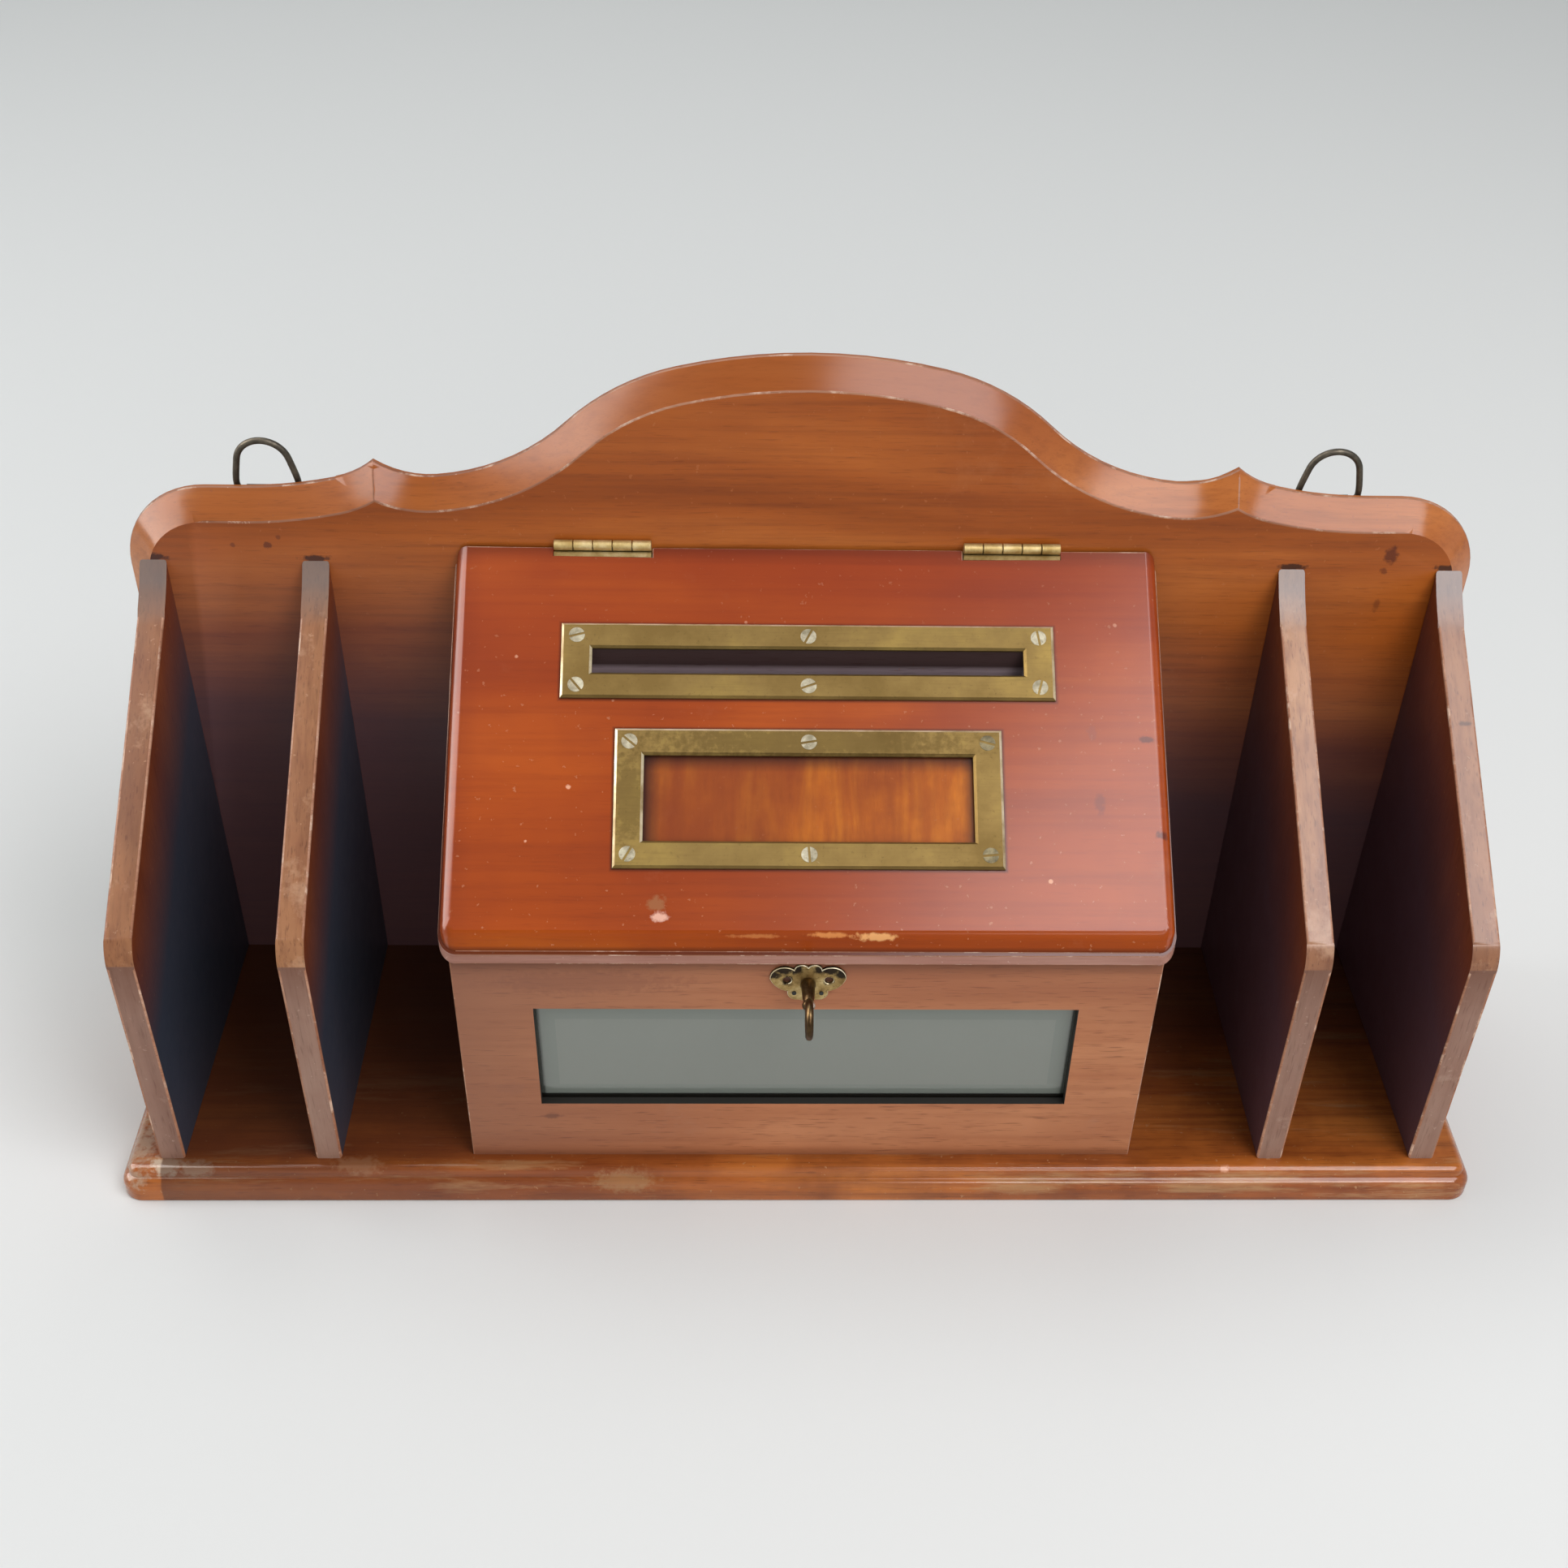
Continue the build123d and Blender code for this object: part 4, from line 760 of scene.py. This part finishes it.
keyPiece.matrix_world = Matrix.Translation(Vector((0, keyForm["face"], keyForm["height"])) * mm) @ Matrix.Rotation(
    pi / 2, 4, "X")
settled(keyPiece, "keyPiece")
smoothed(keyPiece, 40)
handed(keyPiece, ["key"])

for sideName in ("left", "right"):
    ring = mergedCopy("ring_" + sideName, "ring" + sideName.capitalize())
    ring.data.materials.append(oldIron)
    modifier = ring.modifiers.new("round", "SUBSURF")
    modifier.levels = 2
    onlySelect(ring)
    bpy.ops.object.modifier_apply(modifier="round")
    smoothed(ring, 60)
    handed(ring, ["ring_" + sideName])
bpy.data.objects.remove(screwHead, do_unlink=True)
bpy.data.objects.remove(knuckle, do_unlink=True)
bpy.data.objects.remove(pinBar, do_unlink=True)
print("keyhole plate, key and rings modelled")

# ---- finish on every solid ----
finishes = {"mahogany_board": boardWood, "mahogany_dark": baseWood, "mahogany_lid": lidWood, "aged_brass": agedBrass,
            "old_steel": oldIron, "glass": windowGlass}
for part in frame["record"]["subparts"]:
    solid = cadNodes[part["node"]]
    solid.data.materials.clear()
    solid.data.materials.append(finishes[part["material_slot"]])
for nodeName, material in (("key", keyMetal), ("keyhole_plate_pins", blackEdge)):
    cadNodes[nodeName].data.materials.clear()
    cadNodes[nodeName].data.materials.append(material)
print("finishes given")

# ---- floor, light, camera ----
roomLook = {"floor": "#d8dad7", "floorSize": 14.0}
bpy.ops.mesh.primitive_plane_add(size=roomLook["floorSize"], location=(0, 3.0, 0))
floor = bpy.context.object
floor.name = "floor"
floorMaterial, floorTree, floorShader = newMaterial("floorPaper", Roughness=0.85)
floorShader.inputs["Base Color"].default_value = tone(roomLook["floor"])
floor.data.materials.append(floorMaterial)

world = bpy.data.worlds.new("studio")
bpy.context.scene.world = world
world.use_nodes = True
worldTree = world.node_tree
direction = addNode(worldTree, "ShaderNodeTexCoord").outputs["Generated"]
upward = alongOf(worldTree, direction, (0, 0, 1))
strength = stepOf(worldTree, upward, 0.25, 0.85, 0.78, 0.18)
worldTree.links.new(strength, worldTree.nodes["Background"].inputs["Strength"])
worldTree.nodes["Background"].inputs["Color"].default_value = tone("#eef2f6")


def areaLight(look):
    data = bpy.data.lights.new(look["name"], "AREA")
    data.shape = "RECTANGLE"
    data.size, data.size_y, data.energy = look["width"], look["depth"], look["power"]
    data.color = tone(look["colour"])[:3]
    lamp = bpy.data.objects.new(look["name"], data)
    lamp.location = look["place"]
    lamp.rotation_euler = (Vector(look["target"]) - Vector(look["place"])).to_track_quat("-Z", "Y").to_euler()
    lamp.visible_diffuse = look.get("lights", True)
    lamp.visible_glossy = look.get("shines", True)
    bpy.context.scene.collection.objects.link(lamp)
    return lamp


for look in ({"name": "ceilingRight", "place": (0.86, -0.76, 1.7), "target": (0, 0, 0.1), "width": 1.1, "depth": 1.2,
              "power": 27.5, "colour": "#fbf8fc"},
             {"name": "ceilingSoft", "place": (-0.5, 1.1, 2.2), "target": (0, 0, 0.1), "width": 1.8, "depth": 1.2,
              "power": 14.0, "colour": "#ffffff"},
             {"name": "frontSoft", "place": (0.3, -2.6, 0.9), "target": (0, 0, 0.1), "width": 3.2, "depth": 1.4,
              "power": 21.0, "colour": "#fff6ec", "shines": False},
             {"name": "leftWindow", "place": (-1.7, 0.15, 0.85), "target": (0, 0, 0.15), "width": 0.5, "depth": 1.2,
              "power": 9.0, "colour": "#f4f8ff", "shines": False},
             {"name": "leftPane", "place": (-1.25, 0.0, 1.05), "target": (0, 0, 0.15), "width": 1.0, "depth": 2.0,
              "power": 44.0, "colour": "#fff8f4", "lights": False},
             {"name": "rightPane", "place": (0.65, -1.5, 1.3), "target": (0, 0, 0.05), "width": 0.9, "depth": 0.25,
              "power": 9.0, "colour": "#fff6f4", "lights": False}):
    areaLight(look)

viewLook = {"place": (-19.612, -495.082, 511.184), "pitch": 0.6890, "yaw": 0.0366, "roll": 0.0278, "focal": 2378.9,
            "centre": (986.53, 1049.13), "frameSize": 1932.0, "sensor": 36.0}
pitch, yaw, roll = viewLook["pitch"], viewLook["yaw"], viewLook["roll"]
forward = Vector((sin(yaw) * cos(pitch), cos(yaw) * cos(pitch), -sin(pitch)))
right = Vector((cos(yaw), -sin(yaw), 0))
up = right.cross(forward)
turnedRight = cos(roll) * right + sin(roll) * up
turnedUp = cos(roll) * up - sin(roll) * right
cameraData = bpy.data.cameras.new("photoCamera")
cameraData.sensor_width = viewLook["sensor"]
cameraData.lens = viewLook["focal"] / viewLook["frameSize"] * viewLook["sensor"]
cameraData.shift_x = -(viewLook["centre"][0] / viewLook["frameSize"] - 0.5)
cameraData.shift_y = viewLook["centre"][1] / viewLook["frameSize"] - 0.5
cameraData.clip_start = 0.01
camera = bpy.data.objects.new("photoCamera", cameraData)
bpy.context.scene.collection.objects.link(camera)
axes = Matrix((turnedRight, turnedUp, -forward)).transposed()
camera.matrix_world = Matrix.Translation(Vector(viewLook["place"]) * mm) @ axes.to_4x4()
bpy.context.scene.camera = camera
bpy.context.scene.view_settings.view_transform = "Standard"
print("floor, light and camera set")
